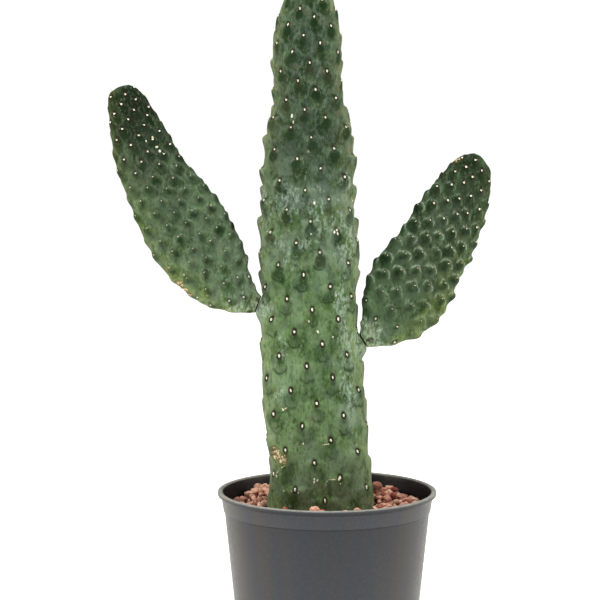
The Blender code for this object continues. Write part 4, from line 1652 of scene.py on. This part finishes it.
@dataclass
class Pot:
    """Thin-walled nursery pot with a rolled lip, a collar, a raised underside and drain holes."""

    height: float = 0.14
    lip_radius: float = 0.085
    lip_width: float = 0.0039
    lip_depth: float = 0.0033
    lip_rounding: float = 0.0012
    collar_top_radius: float = 0.0822
    collar_foot_radius: float = 0.0804
    collar_foot: float = 0.1245
    wall_top_radius: float = 0.0796
    base_radius: float = 0.0668
    wall: float = 0.002
    floor: float = 0.0045
    step_blend: float = 0.003
    foot_ring_inner: float = 0.056
    centre_disc: float = 0.02
    recess: float = 0.0025
    drain_holes: int = 8
    drain_radius: float = 0.0045
    drain_circle: float = 0.038
    drain_sides: int = 24
    sides: int = 144
    corner_steps: int = 4
    sharp_angle: float = math.radians(48)
    lip_highlight_depth: Span = (0.0011, 0.0001)
    crease_shade_depth: float = 0.0004
    lit_side_span: Span = (0.45, 0.95)
    finish: PotFinish = PotFinish()

    @property
    def lip_foot(self) -> float:
        """Height of the lip's underside."""
        return self.height - self.lip_depth

    def wall_radius(self, height: float) -> float:
        """Outer radius of the plain wall."""
        return self.base_radius + (self.wall_top_radius - self.base_radius) * height / self.collar_foot

    def corners(self) -> list[tuple[float, float, float]]:
        """Corners of the turned profile.

        Returns:
            Radius, height and rounding of each, from the inner floor over the lip to the underside.
        """
        wall, foot, lip, blend = self.wall, self.collar_foot, self.lip_foot, self.lip_rounding
        under_lip, under_collar = self.collar_top_radius, self.collar_foot_radius
        small, tiny = 0.0006, 0.0005
        return [
            (0.0, self.floor, 0.0),
            (self.wall_radius(self.floor) - wall, self.floor, 0.002),
            (self.wall_top_radius - wall, foot, small),
            (under_collar - wall, foot + self.step_blend, small),
            (under_lip - wall, lip, blend),
            (self.lip_radius - self.lip_width, self.height, blend),
            (self.lip_radius, self.height, blend),
            (self.lip_radius, lip, blend),
            (under_lip, lip, 0.0004),
            (under_lip - 0.0002, lip - 0.0014, 0.0),
            (under_collar + 0.0001, foot + 0.0008, 0.0),
            (under_collar, foot, 0.0004),
            (self.wall_top_radius, foot, 0.0003),
            (self.wall_radius(foot - 0.0009), foot - 0.0009, 0.0),
            (self.base_radius, 0.0, 0.0018),
            (self.foot_ring_inner, 0.0, tiny),
            (self.foot_ring_inner, self.recess, tiny),
            (self.centre_disc, self.recess, tiny),
            (self.centre_disc, 0.0, tiny),
            (0.0, 0.0, 0.0),
        ]

    def profile(self) -> list[Vector]:
        """The corners with their roundings worked out.

        Returns:
            Points in the plane of X and Z.
        """
        corners = [(Vector((radius, 0.0, height)), rounding) for radius, height, rounding in self.corners()]
        points = []
        for index, (here, rounding) in enumerate(corners):
            if not rounding:
                points.append(here)
                continue
            back, on = (corners[other][0] - here for other in (index - 1, index + 1))
            reach = min(rounding, back.length * 0.45, on.length * 0.45)
            start, end = (here + way.normalized() * reach for way in (back, on))
            for step in range(self.corner_steps + 1):
                share = step / self.corner_steps
                points.append(start.lerp(here, share).lerp(here.lerp(end, share), share))
        return points

    def build(self, effects: Effects) -> list[Item]:
        """Builds the pot.

        Args:
            effects: The shared node groups.

        Returns:
            The piece.
        """
        bm = bmesh.new()
        verts = [bm.verts.new(point) for point in self.profile()]
        edges = [bm.edges.new(pair) for pair in zip(verts, verts[1:])]
        bmesh.ops.spin(
            bm,
            geom=verts + edges,
            cent=(0.0, 0.0, 0.0),
            axis=(0.0, 0.0, 1.0),
            angle=math.tau,
            steps=self.sides,
            use_merge=True,
        )
        bmesh.ops.remove_doubles(bm, verts=bm.verts[:], dist=0.00001)
        mesh = as_mesh(bm, "pot_shell", rounded=True)
        shell = dress(mesh, self.finish.material("pot_shell", effects))
        self.drill(shell)
        self.mark(shell.data)
        shell.data.shade_smooth()
        shell.data.set_sharp_from_angle(angle=self.sharp_angle)
        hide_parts("pot")
        return [shell]

    def drill(self, shell: Item) -> None:
        """Cuts the drain holes.

        Args:
            shell: The pot.
        """
        bm = bmesh.new()
        for hole in range(self.drain_holes):
            turn = Matrix.Rotation(math.tau * hole / self.drain_holes, 4, "Z")
            shape = turn @ Matrix.Translation((self.drain_circle, 0.0, self.floor / 2))
            add_rod(bm, self.drain_sides, (self.drain_radius, self.drain_radius), self.floor * 2, shape)
        drills = add_object("drills", as_mesh(bm, "drills"))
        cut = shell.modifiers.new("Drain", "BOOLEAN")
        cut.operation = "DIFFERENCE"
        cut.object = drills
        mesh = bpy.data.meshes.new_from_object(shell.evaluated_get(bpy.context.evaluated_depsgraph_get()))
        shell.modifiers.clear()
        shell.data = mesh
        bpy.data.objects.remove(drills)

    def mark(self, mesh: Mesh) -> None:
        """Marks the inside and the creases, where shade is painted, the lip's top, where a highlight is
        painted, and the sides, where warmer light is painted.

        Args:
            mesh: The pot's mesh.
        """
        places = np.empty(len(mesh.vertices) * 3, np.float32)
        mesh.vertices.foreach_get("co", places)
        across, out, up = places.reshape(-1, 3).T
        radius = np.hypot(across, out)
        skin = np.array((
            (0.0, self.base_radius),
            (self.collar_foot, self.wall_top_radius),
            (self.collar_foot + self.step_blend, self.collar_foot_radius),
            (self.lip_foot, self.collar_top_radius),
            (self.height, self.lip_radius),
        ))
        middle = np.interp(up, skin[:, 0], skin[:, 1] - self.wall / 2)
        in_lip = up > self.height - self.lip_depth * 0.9
        middle = np.where(in_lip, self.lip_radius - self.lip_width * 0.75, middle)
        marks = np.zeros((len(radius), 4), np.float32)
        # Painted shade: the inside of the pot takes the near-black inner colour.
        marks[:, 0] = (radius < middle) & (up > self.floor * 0.8)
        # Painted highlight: the top millimetre of the lip is painted pale.
        marks[:, 1] = ease(*(self.height - depth for depth in self.lip_highlight_depth), up)
        outside = 1.0 - marks[:, 0]
        # Painted shade: dark bands under the lip, on the lip's lower outer face and at the collar's foot
        creases = (
            (self.lip_foot, self.collar_top_radius, 1.0, 0.0016),
            (self.lip_foot, self.lip_radius, 0.8, 0.002),
            (self.collar_foot, self.wall_top_radius, 0.9, 0.0013),
        )
        for height, there, amount, reach in creases:
            near = 1.0 - ease(self.crease_shade_depth, reach, np.hypot(up - height, radius - there))
            marks[:, 2] = np.maximum(marks[:, 2], amount * near * outside)
        # Painted light: the left and right sides, as seen from the front, get a warmer, lighter colour.
        marks[:, 3] = ease(*self.lit_side_span, np.abs(across) / np.maximum(radius, TINY)) * outside
        mark_points(mesh, "pot", marks)


@dataclass
class Gravel:
    """Top dressing of lava stones on a bed of finer crumbs, heaped towards the stem."""

    heap_at_stem: float = 0.1322
    heap_at_wall: float = 0.1283
    heap_power: float = 1.5
    heap_tilt: float = 0.12
    mounds: Table = ((0.034, 0.028, 0.008, 0.0008), (-0.049, 0.032, 0.015, 0.0032))
    placed: Table = (
        (0.0392, 0.028, 0.1378, 0.0048), (0.044, 0.018, 0.1325, 0.004), (0.06, 0.02, 0.1288, 0.0042),
        (0.064, 0.01, 0.127, 0.004), (-0.0102, -0.05, 0.1331, 0.005), (-0.004, -0.053, 0.1314, 0.0038),
        (0.0225, -0.048, 0.1322, 0.0038), (-0.033, -0.046, 0.1326, 0.0042),
    )
    field_radius: float = 0.07
    field_margin: float = 0.003
    bed_depth: float = 0.006
    bed_floor: float = 0.1104
    bed_level: float = 0.125
    bed_gap: float = 0.0004
    bed_rings: int = 14
    bed_sides: int = 128
    crumb_scale: float = 260.0
    crumb_height: float = 0.0012
    wall_radius: float = 0.0758
    stone_level: float = 0.13
    smallest: float = 0.0027
    largest: float = 0.0048
    layers: tuple[tuple[int, float], ...] = ((380, -0.0062), (380, -0.0028))
    layer_turn: float = 0.7
    missing_share: float = 0.06
    overlap: float = 0.8
    flatness: Span = (0.65, 0.95)
    thickness: Span = (0.5, 0.85)
    roughness: float = 0.42
    coarse: float = 1.1
    fine: float = 2.6
    sharp_angle: float = math.radians(24)
    seed: int = 23
    finish: StoneFinish = StoneFinish()

    def heap(self, x: float, y: float) -> float:
        """Height of the heap, which rises towards the back and has a mound on each side of the stem.

        Args:
            x: Place to the right.
            y: Place to the back.

        Returns:
            The height.
        """
        share = min(math.hypot(x, y) / self.field_radius, 1.0)
        height = self.heap_at_stem + (self.heap_at_wall - self.heap_at_stem) * share**self.heap_power
        height += self.heap_tilt * y
        for middle_x, middle_y, spread, rise in self.mounds:
            height += rise * math.exp(-((math.hypot(x - middle_x, y - middle_y) / spread) ** 2))
        return height

    def build_bed(self, trunk: Trunk, effects: Effects) -> Item:
        """Builds the crumbly bed as a closed ring round the stem, coloured darkest as painted shade between
        the stones.

        Args:
            trunk: The stem that stands in it.
            effects: The shared node groups.

        Returns:
            The piece.
        """
        middle, half_width, half_depth = follow(trunk.sections, self.bed_level)
        angles = np.arange(self.bed_sides) / self.bed_sides * math.tau
        across, out, _ = trunk.section(angles, half_width + self.bed_gap, half_depth + self.bed_gap)
        inner = np.stack((across + middle, out), axis=1)
        turns = np.arctan2(inner[:, 1], inner[:, 0])
        outer = np.stack((np.cos(turns), np.sin(turns)), axis=1) * self.wall_radius
        bm = bmesh.new()
        loop = list(bmesh.ops.create_circle(bm, segments=self.bed_sides, radius=1.0)["verts"])
        for place, vert in zip(inner, loop):
            vert.co = (*place, self.bed_floor)
        begin = edges = [bm.edges.get(pair) for pair in zip(loop[-1:] + loop, loop)]
        rows = [(share / self.bed_rings, True) for share in range(self.bed_rings + 1)] + [(1.0, False)]
        for share, on_top in rows:
            grown = bmesh.ops.extrude_edge_only(bm, edges=edges)["geom"]
            edges = [item for item in grown if isinstance(item, bmesh.types.BMEdge)]
            for vert in {vert for edge in edges for vert in edge.verts}:
                index = self.nearest_spoke(vert, inner, outer)
                flat = inner[index] * (1 - share) + outer[index] * share
                crumb = noise.noise(Vector((*flat, 0.0)) * self.crumb_scale) * self.crumb_height
                top = self.heap(*flat) - self.bed_depth + crumb
                vert.co = (*flat, top if on_top else self.bed_floor)
        bmesh.ops.bridge_loops(bm, edges=begin + edges)
        stone = bm.verts.layers.float_color.new("stone")
        # Painted shade: the bed takes the stones' darkest colour, to stand for the shade in the gaps.
        for vert in bm.verts:
            vert[stone] = (0.0, 0.2, 0.0, 1.0)
        mesh = as_mesh(bm, "gravel_bed", rounded=True)
        return dress(mesh, self.finish.material("gravel_bed", effects))

    @staticmethod
    def nearest_spoke(vert: bmesh.types.BMVert, inner: Grid, outer: Grid) -> int:
        """Spoke of the bed that a point lies on.

        Args:
            vert: The point.
            inner: Starts of the spokes.
            outer: Ends of the spokes.

        Returns:
            The spoke's number.
        """
        place = np.array(vert.co[:2])
        way = outer - inner
        share = np.clip(((place - inner) * way).sum(1) / (way * way).sum(1), 0.0, 1.0)
        return int(np.argmin(np.linalg.norm(inner + way * share[:, None] - place, axis=1)))

    def build_stones(self, trunk: Trunk, effects: Effects) -> Item:
        """Builds the stones on evenly filled spirals.

        Args:
            trunk: The stem that they lie round.
            effects: The shared node groups.

        Returns:
            The piece.
        """
        draw = random.Random(self.seed)
        middle, *halves = follow(trunk.sections, self.stone_level)
        bm = bmesh.new()
        layer = bm.verts.layers.float_color.new("stone")
        reach = self.field_radius + self.field_margin
        for at, (count, level) in enumerate(self.layers):
            for number in range(count):
                size = draw.uniform(self.smallest, self.largest)
                radius = reach * math.sqrt((number + 0.5) / count) + draw.uniform(-0.002, 0.002)
                angle = number * GOLDEN_ANGLE + at * self.layer_turn + draw.uniform(-0.03, 0.03)
                x, y = radius * math.cos(angle), radius * math.sin(angle)
                wide, deep = (half + size * self.overlap for half in halves)
                in_stem = (abs(x - middle) / wide) ** trunk.power + (abs(y) / deep) ** trunk.power < 1.0
                if in_stem or radius + size > self.wall_radius or draw.random() < self.missing_share:
                    continue
                height = self.heap(x, y) + level + draw.uniform(-0.001, 0.0014)
                self.add_stone(bm, layer, Vector((x, y, height)), size, draw)
        for *place, size in self.placed:
            self.add_stone(bm, layer, Vector(place), size, draw)
        mesh = as_mesh(bm, "gravel_stones", rounded=True)
        mesh.set_sharp_from_angle(angle=self.sharp_angle)
        stones = dress(mesh, self.finish.material("gravel_stones", effects))
        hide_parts("gravel")
        return stones

    def add_stone(
        self, bm: BMesh, layer: object, place: Vector, size: float, draw: random.Random
    ) -> None:
        """Adds one rough, angular stone.

        Args:
            bm: Mesh that it goes into.
            layer: Layer that holds each stone's tone, painted darker underneath as shade and paler on top as
                highlight, and its hue.
            place: Its middle.
            size: Its half size.
            draw: Seeded random numbers.
        """
        turn = draw.uniform(0, math.tau)
        spin = Matrix.Rotation(turn, 4, Vector([draw.gauss(0, 1) for _ in range(3)]))
        squash = Matrix.Diagonal((1.0, draw.uniform(*self.flatness), draw.uniform(*self.thickness), 1.0))
        shape = Matrix.Translation(place) @ spin @ squash
        made = bmesh.ops.create_icosphere(bm, subdivisions=2, radius=size, matrix=shape)
        shade, hue = draw.uniform(0.5, 1.15), draw.random()
        shift = Vector([draw.uniform(0, 9) for _ in range(3)])
        for vert in made["verts"]:
            away = vert.co - place
            broad, sharp = (noise.noise(away * (scale / size) + shift) for scale in (self.coarse, self.fine))
            vert.co = place + away * (1.0 + self.roughness * (broad + 0.5 * sharp))
            # Painted light and shade: each stone is coloured lighter on top and darker underneath.
            lit = min(max(0.66 + 0.62 * away.z / size, 0.0), 1.0)
            vert[layer] = (shade * lit, hue, 0.0, 1.0)

    def build(self, trunk: Trunk, effects: Effects) -> list[Item]:
        """Builds the bed and the stones round the stem."""
        return [self.build_bed(trunk, effects), self.build_stones(trunk, effects)]


@dataclass
class Studio:
    """Pale floor, soft light and the camera."""

    aim: Place = (-0.021, 0.0, 0.29)
    camera_place: Place = (-0.021, -2.2, 0.5656)
    camera_tilt: float = math.radians(7.17)
    lens: float = 172.7
    sensor: float = 36.0
    farthest: float = 100.0
    floor_radius: float = 40.0
    floor_sides: int = 96
    floor_tint: Colour = tint(225, 225, 225)
    floor_glow: float = 0.84
    sky_strength: float = 0.25
    lamps: tuple[tuple[str, Place, float, float, Colour], ...] = (
        ("left", (-1.9, -0.3, 1.3), 1.0, 27.5, (1.0, 0.94, 0.82)),
        ("right", (1.9, -0.2, 1.2), 1.0, 25.5, (1.0, 0.95, 0.84)),
        ("top", (-0.2, -0.4, 2.2), 0.9, 36.0, (0.97, 0.98, 1.0)),
    )

    def add_floor(self) -> None:
        """Adds the floor, a wide disc."""
        bm = bmesh.new()
        bmesh.ops.create_circle(bm, cap_ends=True, segments=self.floor_sides, radius=self.floor_radius)
        mesh = as_mesh(bm, "floor")
        floor = add_object("floor", mesh)
        looks = {"Base Color": (*self.floor_tint, 1.0), "Roughness": 0.9}
        glow = {"Emission Color": WHITE, "Emission Strength": self.floor_glow}
        mesh.materials.append(Surface("floor").finished(looks | glow))

    def add_sky(self) -> None:
        """Adds even white light from all round."""
        world = bpy.data.worlds.new("sky")
        world.use_nodes = True
        background = world.node_tree.nodes["Background"]
        background.inputs["Color"].default_value = WHITE
        background.inputs["Strength"].default_value = self.sky_strength
        bpy.context.scene.world = world

    def add_lamp(self, name: str, place: Place, size: float, power: float, tone: Colour) -> None:
        """Adds one soft square lamp that points at the plant.

        Args:
            name: Name of the lamp.
            place: Where it hangs.
            size: Its width.
            power: Its power in watts.
            tone: Its colour.
        """
        light = bpy.data.lights.new(name, "AREA")
        light.shape = "SQUARE"
        light.size = size
        light.energy = power
        light.color = tone
        lamp = add_object(name, light)
        lamp.location = place
        lamp.rotation_mode = "QUATERNION"
        lamp.rotation_quaternion = (Vector(self.aim) - Vector(place)).to_track_quat("-Z", "Y")

    def add_camera(self) -> None:
        """Adds the camera at the photograph's viewing angle."""
        data = bpy.data.cameras.new("camera")
        data.lens = self.lens
        data.sensor_width = self.sensor
        data.clip_end = self.farthest
        camera = add_object("camera", data)
        camera.location = self.camera_place
        camera.rotation_euler = (math.pi / 2 - self.camera_tilt, 0.0, 0.0)
        bpy.context.scene.camera = camera

    def build(self) -> None:
        """Sets up the whole studio."""
        self.add_floor()
        self.add_sky()
        for lamp in self.lamps:
            self.add_lamp(*lamp)
        self.add_camera()
        bpy.context.scene.view_settings.view_transform = "Standard"


LEFT_EDGES = (
    (
        (-0.0508, 0.2917), (-0.0556, 0.2985), (-0.0604, 0.3119), (-0.0635, 0.3262), (-0.0716, 0.3449),
        (-0.0815, 0.3635), (-0.0965, 0.3821), (-0.112, 0.4007), (-0.1218, 0.419), (-0.1332, 0.4375),
        (-0.1395, 0.447), (-0.144, 0.4515), (-0.147, 0.4535), (-0.1505, 0.455),
    ),
    (
        (-0.0553, 0.2792), (-0.0645, 0.2791), (-0.0833, 0.2825), (-0.1001, 0.2897), (-0.1221, 0.3088),
        (-0.1393, 0.3368), (-0.1504, 0.3646), (-0.16, 0.3922), (-0.1645, 0.4196), (-0.1662, 0.44),
        (-0.165, 0.448), (-0.1605, 0.4525), (-0.156, 0.4543), (-0.1505, 0.455),
    ),
)
RIGHT_EDGES = (
    (
        (0.0248, 0.2628), (0.0266, 0.2702), (0.0275, 0.2842), (0.0303, 0.3027), (0.0391, 0.3212),
        (0.0553, 0.3394), (0.0676, 0.3578), (0.0807, 0.376), (0.0916, 0.3885), (0.0985, 0.3957),
        (0.105, 0.399), (0.1093, 0.4003), (0.1135, 0.401),
    ),
    (
        (0.0307, 0.2519), (0.0424, 0.2529), (0.061, 0.2568), (0.0798, 0.2666), (0.0937, 0.2841),
        (0.1029, 0.305), (0.113, 0.3242), (0.1192, 0.3428), (0.1248, 0.364), (0.1262, 0.382),
        (0.124, 0.39), (0.119, 0.398), (0.1135, 0.401),
    ),
)
TRUNK_SHAPE = TubercleShape(0.62, 1.05, -0.04, 0.16, 1.2, 1.1, 0.25, -0.31, 0.23, 0.29)
PAD_SHAPE = TubercleShape(0.52, 0.72, -0.1, 0.22, 0.8, 0.9, 0.3, -0.28, 0.36, 0.4)
TRUNK_AREOLES = (
    AreoleSize(0.25, 0.00085, 0.0017, 0.0008), AreoleSize(0.55, 0.0008, 0.0015, 0.0008),
    AreoleSize(0.68, 0.00075, 0.0011, 0.0007), AreoleSize(0.8, 0.0007, 0.0013, 0.0007),
    AreoleSize(1.0, 0.00065, 0.0013, 0.0006),
)
# Place to the right, height and size of the extra tufts
TRUNK_TUFTS = (
    (-0.0098, 0.3653, 1.3), (0.0052, 0.3432, 1.0), (0.008, 0.3421, 1.0), (-0.0271, 0.4317, 1.2),
    (-0.0102, 0.1524, 0.8), (-0.0075, 0.152, 0.7), (-0.0102, 0.1502, 0.9), (-0.0002, 0.1513, 0.35),
    (0.0052, 0.1525, 0.35), (0.009, 0.1524, 0.9), (0.0103, 0.1488, 0.5), (-0.0333, 0.1422, 0.6),
    (-0.0272, 0.143, 0.4), (-0.0226, 0.1415, 0.5), (-0.0388, 0.1534, 0.6), (-0.0185, 0.1802, 0.5),
    (-0.0343, 0.2061, 0.7), (-0.0076, 0.2674, 0.9), (0.0044, 0.2622, 0.6), (0.006, 0.2945, 0.6),
    (-0.0144, 0.2753, 0.6), (-0.0263, 0.427, 0.9), (-0.0149, 0.4038, 0.5), (-0.0305, 0.3609, 0.6),
    (-0.0128, 0.3421, 0.7),
)
# Place to the right, height, direction in degrees from the right and length of the lying spines
TRUNK_SPINES = (
    (0.001, 0.1799, 182.0, 0.0066), (-0.0388, 0.156, 50.0, 0.007), (-0.0345, 0.1608, 30.0, 0.0046),
    (-0.0316, 0.208, 205.0, 0.0052), (0.006, 0.1527, 176.0, 0.006), (0.019, 0.366, 140.0, 0.005),
)
LEFT_TUFTS = (
    (-0.1328, 0.4149, 1.2), (-0.1376, 0.4134, 1.0), (-0.1298, 0.4085, 1.3), (-0.1276, 0.4054, 1.3),
    (-0.1096, 0.3099, 1.2), (-0.0995, 0.2921, 1.2),
)
PAD_AREOLES = (
    AreoleSize(0.0, 0.0008, 0.0009, 0.0007), AreoleSize(0.16, 0.0008, 0.0009, 0.0006, 0.2),
    AreoleSize(0.24, 0.0005, 0.0006, 0.0004, 0.7), AreoleSize(0.48, 0.0005, 0.0006, 0.0004, 0.6),
    AreoleSize(0.56, 0.0008, 0.0008, 0.0007), AreoleSize(1.0, 0.0008, 0.0008, 0.0008),
)
TRUNK_SCARS = (
    Scar((-0.0405, -0.013, 0.171), 0.008, 0.002), Scar((-0.035, -0.018, 0.1672), 0.0062, 0.0004),
    Scar((0.0087, -0.012, 0.457), 0.0022), Scar((0.0179, -0.008, 0.4041), 0.0024),
)
LEFT_SCARS = (
    Scar((-0.1218, -0.012, 0.3147), 0.0052, 0.0003), Scar((-0.1135, -0.011, 0.3028), 0.0056, 0.0005),
    Scar((-0.1082, -0.01, 0.2985), 0.0038, 0.0004), Scar((-0.104, -0.01, 0.2955), 0.0036, 0.0004),
    Scar((-0.0803, -0.006, 0.2885), 0.0028),
)
RIGHT_SCARS = (Scar((0.1, 0.012, 0.3965), 0.004),)
# The stem's edge colour is its yellower tint and also painted side light.
TRUNK_FINISH = SkinFinish(
    deep=tint(12, 36, 9), mid=tint(71, 99, 51), light=tint(107, 134, 85), dull=tint(92, 96, 64),
    dark_oval_and_shade=tint(16, 42, 10), rust=tint(42, 46, 20), bloom=tint(160, 179, 164), edge=tint(134, 143, 98),
    edge_share=0.55, fleck_share=0.3, fleck_depth=0.6,
)
PAD_FINISH = SkinFinish(
    deep=tint(5, 25, 1), mid=tint(56, 84, 43), light=tint(82, 108, 70), dull=tint(76, 84, 54),
    dark_oval_and_shade=tint(12, 34, 10), rust=tint(30, 37, 18), bloom=tint(182, 200, 174), edge=tint(130, 150, 62),
    edge_share=0.7, fleck_share=0.2,
)
# Share of the way up and square millimetres of skin for each tubercle
LEFT_AREAS = (
    (0.0, 190.0), (0.2, 165.0), (0.35, 145.0), (0.55, 125.0), (0.7, 88.0), (0.85, 66.0), (1.0, 38.0),
)
RIGHT_AREAS = (
    (0.0, 250.0), (0.15, 240.0), (0.35, 160.0), (0.55, 125.0), (0.7, 100.0), (0.86, 64.0), (1.0, 38.0),
)
# Share of the way up, dark oval, dark spot below the areole and lower border (these three partly painted
# shade),
# pale crescents and seams (partly painted highlight), dark halo and wax bloom
TRUNK_MARKS = (
    (0.24, 0.2, 0.6, 0.4, 0.0, 0.08, 0.9, 0.52), (0.35, 0.3, 0.8, 0.8, 0.0, 0.1, 1.0, 0.36),
    (0.45, 0.4, 0.8, 1.0, 0.05, 0.12, 1.0, 0.3), (0.56, 0.75, 0.8, 1.0, 0.3, 0.15, 0.95, 0.34),
    (0.62, 1.0, 0.8, 0.8, 0.6, 0.15, 0.8, 0.6), (0.7, 1.0, 0.8, 0.6, 0.7, 0.15, 0.75, 0.62),
    (0.745, 1.0, 0.6, 0.4, 0.55, 0.2, 0.8, 0.34), (0.79, 1.0, 0.7, 0.2, 0.3, 0.24, 0.85, 0.22),
    (0.86, 1.0, 0.8, 0.2, 0.25, 0.26, 0.85, 0.22), (1.0, 1.0, 0.8, 0.2, 0.25, 0.26, 0.85, 0.24),
)
LEFT_MARKS = (
    (0.0, 0.3, 0.3, 0.2, 0.1, 0.15, 0.6, 0.8), (0.12, 0.6, 0.3, 0.3, 0.3, 0.22, 0.6, 0.6),
    (0.28, 0.95, 0.3, 0.3, 0.4, 0.26, 0.3, 0.36), (0.5, 0.95, 0.3, 0.3, 0.35, 0.24, 0.4, 0.24),
    (0.62, 0.6, 0.3, 0.2, 0.15, 0.12, 0.8, 0.08), (0.74, 0.4, 0.3, 0.1, 0.0, 0.06, 0.9, 0.0),
    (1.0, 0.3, 0.3, 0.0, 0.0, 0.03, 0.9, 0.0),
)
RIGHT_MARKS = (
    (0.0, 0.2, 0.3, 0.2, 0.0, 0.1, 0.6, 1.3), (0.08, 0.2, 0.3, 0.2, 0.0, 0.1, 0.7, 1.1),
    (0.16, 0.35, 0.3, 0.3, 0.1, 0.12, 0.8, 0.34), (0.26, 0.9, 0.3, 0.3, 0.6, 0.12, 0.5, 0.2),
    (0.38, 1.0, 0.3, 0.3, 0.85, 0.15, 0.4, 0.22), (0.55, 1.0, 0.3, 0.3, 0.75, 0.15, 0.4, 0.18),
    (0.66, 0.6, 0.3, 0.2, 0.25, 0.08, 0.8, 0.1), (0.76, 0.35, 0.3, 0.1, 0.0, 0.05, 0.9, 0.04),
    (1.0, 0.3, 0.3, 0.0, 0.0, 0.03, 0.9, 0.0),
)
# Share of the way up and how deep a green the skin is there
TRUNK_GREENS = (
    (0.2, 0.3), (0.3, 0.2), (0.38, 0.1), (0.55, 0.05), (0.62, 0.3), (0.7, 0.6), (0.78, 0.9), (1.0, 0.8),
)
LEFT_GREENS = ((0.0, 0.0), (0.3, 0.1), (0.45, 0.3), (0.56, 0.85), (0.72, 1.0), (1.0, 0.9))
RIGHT_GREENS = ((0.0, 0.0), (0.15, 0.1), (0.3, 0.35), (0.45, 0.65), (0.6, 0.7), (0.8, 0.9), (1.0, 0.9))


def make_trunk(joints: tuple[Joint, Joint]) -> Trunk:
    """Makes the stem.

    Args:
        joints: Where the pads grow.

    Returns:
        The stem.
    """
    return Trunk(
        node="trunk",
        finish=TRUNK_FINISH,
        shape=TRUNK_SHAPE,
        first_angle=math.radians(202.5),
        columns=252,
        reach=14,
        seed=11,
        power=2.5,
        marks=TRUNK_MARKS,
        greens=TRUNK_GREENS,
        areoles=TRUNK_AREOLES,
        scars=TRUNK_SCARS,
        joints=joints,
        pit=0.0006,
        bands=((50.0, 14.0, 0.33, 0.58, 0.46), (-44.0, 11.0, 0.36, 0.54, 0.26)),
        height_jitter=0.42,
        tufts=TRUNK_TUFTS,
        spines=TRUNK_SPINES,
        edge_calm=0.2,
        stub_bloom=0.55,
        halo_reach=(1.9, 3.3),
        halo_rise=0.0004,
    )


def make_pad(side: Side) -> Pad:
    """Makes a side shoot.

    Args:
        side: The side that it grows on.

    Returns:
        The pad.
    """
    left = side is Side.LEFT
    edges = LEFT_EDGES if left else RIGHT_EDGES
    return Pad(
        node=f"pad_{side.name.lower()}",
        finish=PAD_FINISH,
        shape=PAD_SHAPE,
        first_angle=math.radians(40 if left else 100),
        columns=300,
        reach=26,
        seed=31 if left else 47,
        power=2.3,
        marks=LEFT_MARKS if left else RIGHT_MARKS,
        greens=LEFT_GREENS if left else RIGHT_GREENS,
        areoles=PAD_AREOLES,
        scars=LEFT_SCARS if left else RIGHT_SCARS,
        joints=(Joint.between(*edges),),
        place_jitter=0.08,
        front_gain=0.35,
        edge_calm=0.4 if left else 0.1,
        softness=(0.15, 1.2),
        bend_share=0.08,
        tufts=LEFT_TUFTS if left else (),
        side=side,
        upper=edges[0],
        lower=edges[1],
        turn=math.radians(-8 if left else 10),
        bend=-0.25 if left else 0.3,
        areas=LEFT_AREAS if left else RIGHT_AREAS,
    )


def report(pieces: list[Item]) -> None:
    """Logs the name and the number of faces of each piece."""
    for piece in pieces:
        LOG.info("%s: %d faces", piece.name, len(piece.data.polygons))


def main() -> None:
    """Builds every class in order."""
    logging.basicConfig(level=logging.INFO, format="%(name)s %(message)s")
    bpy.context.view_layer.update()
    effects = Effects()
    trunk = make_trunk((Joint.between(*LEFT_EDGES), Joint.between(*RIGHT_EDGES)))
    report(Pot().build(effects))
    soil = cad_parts["soil"]
    soil.data.materials.clear()
    soil.data.materials.append(SoilFinish().material("soil", effects))
    report(Gravel().build(trunk, effects))
    for limb in (trunk, make_pad(Side.LEFT), make_pad(Side.RIGHT)):
        report(limb.build(effects))
    Studio().build()


if __name__ == "__main__":
    main()
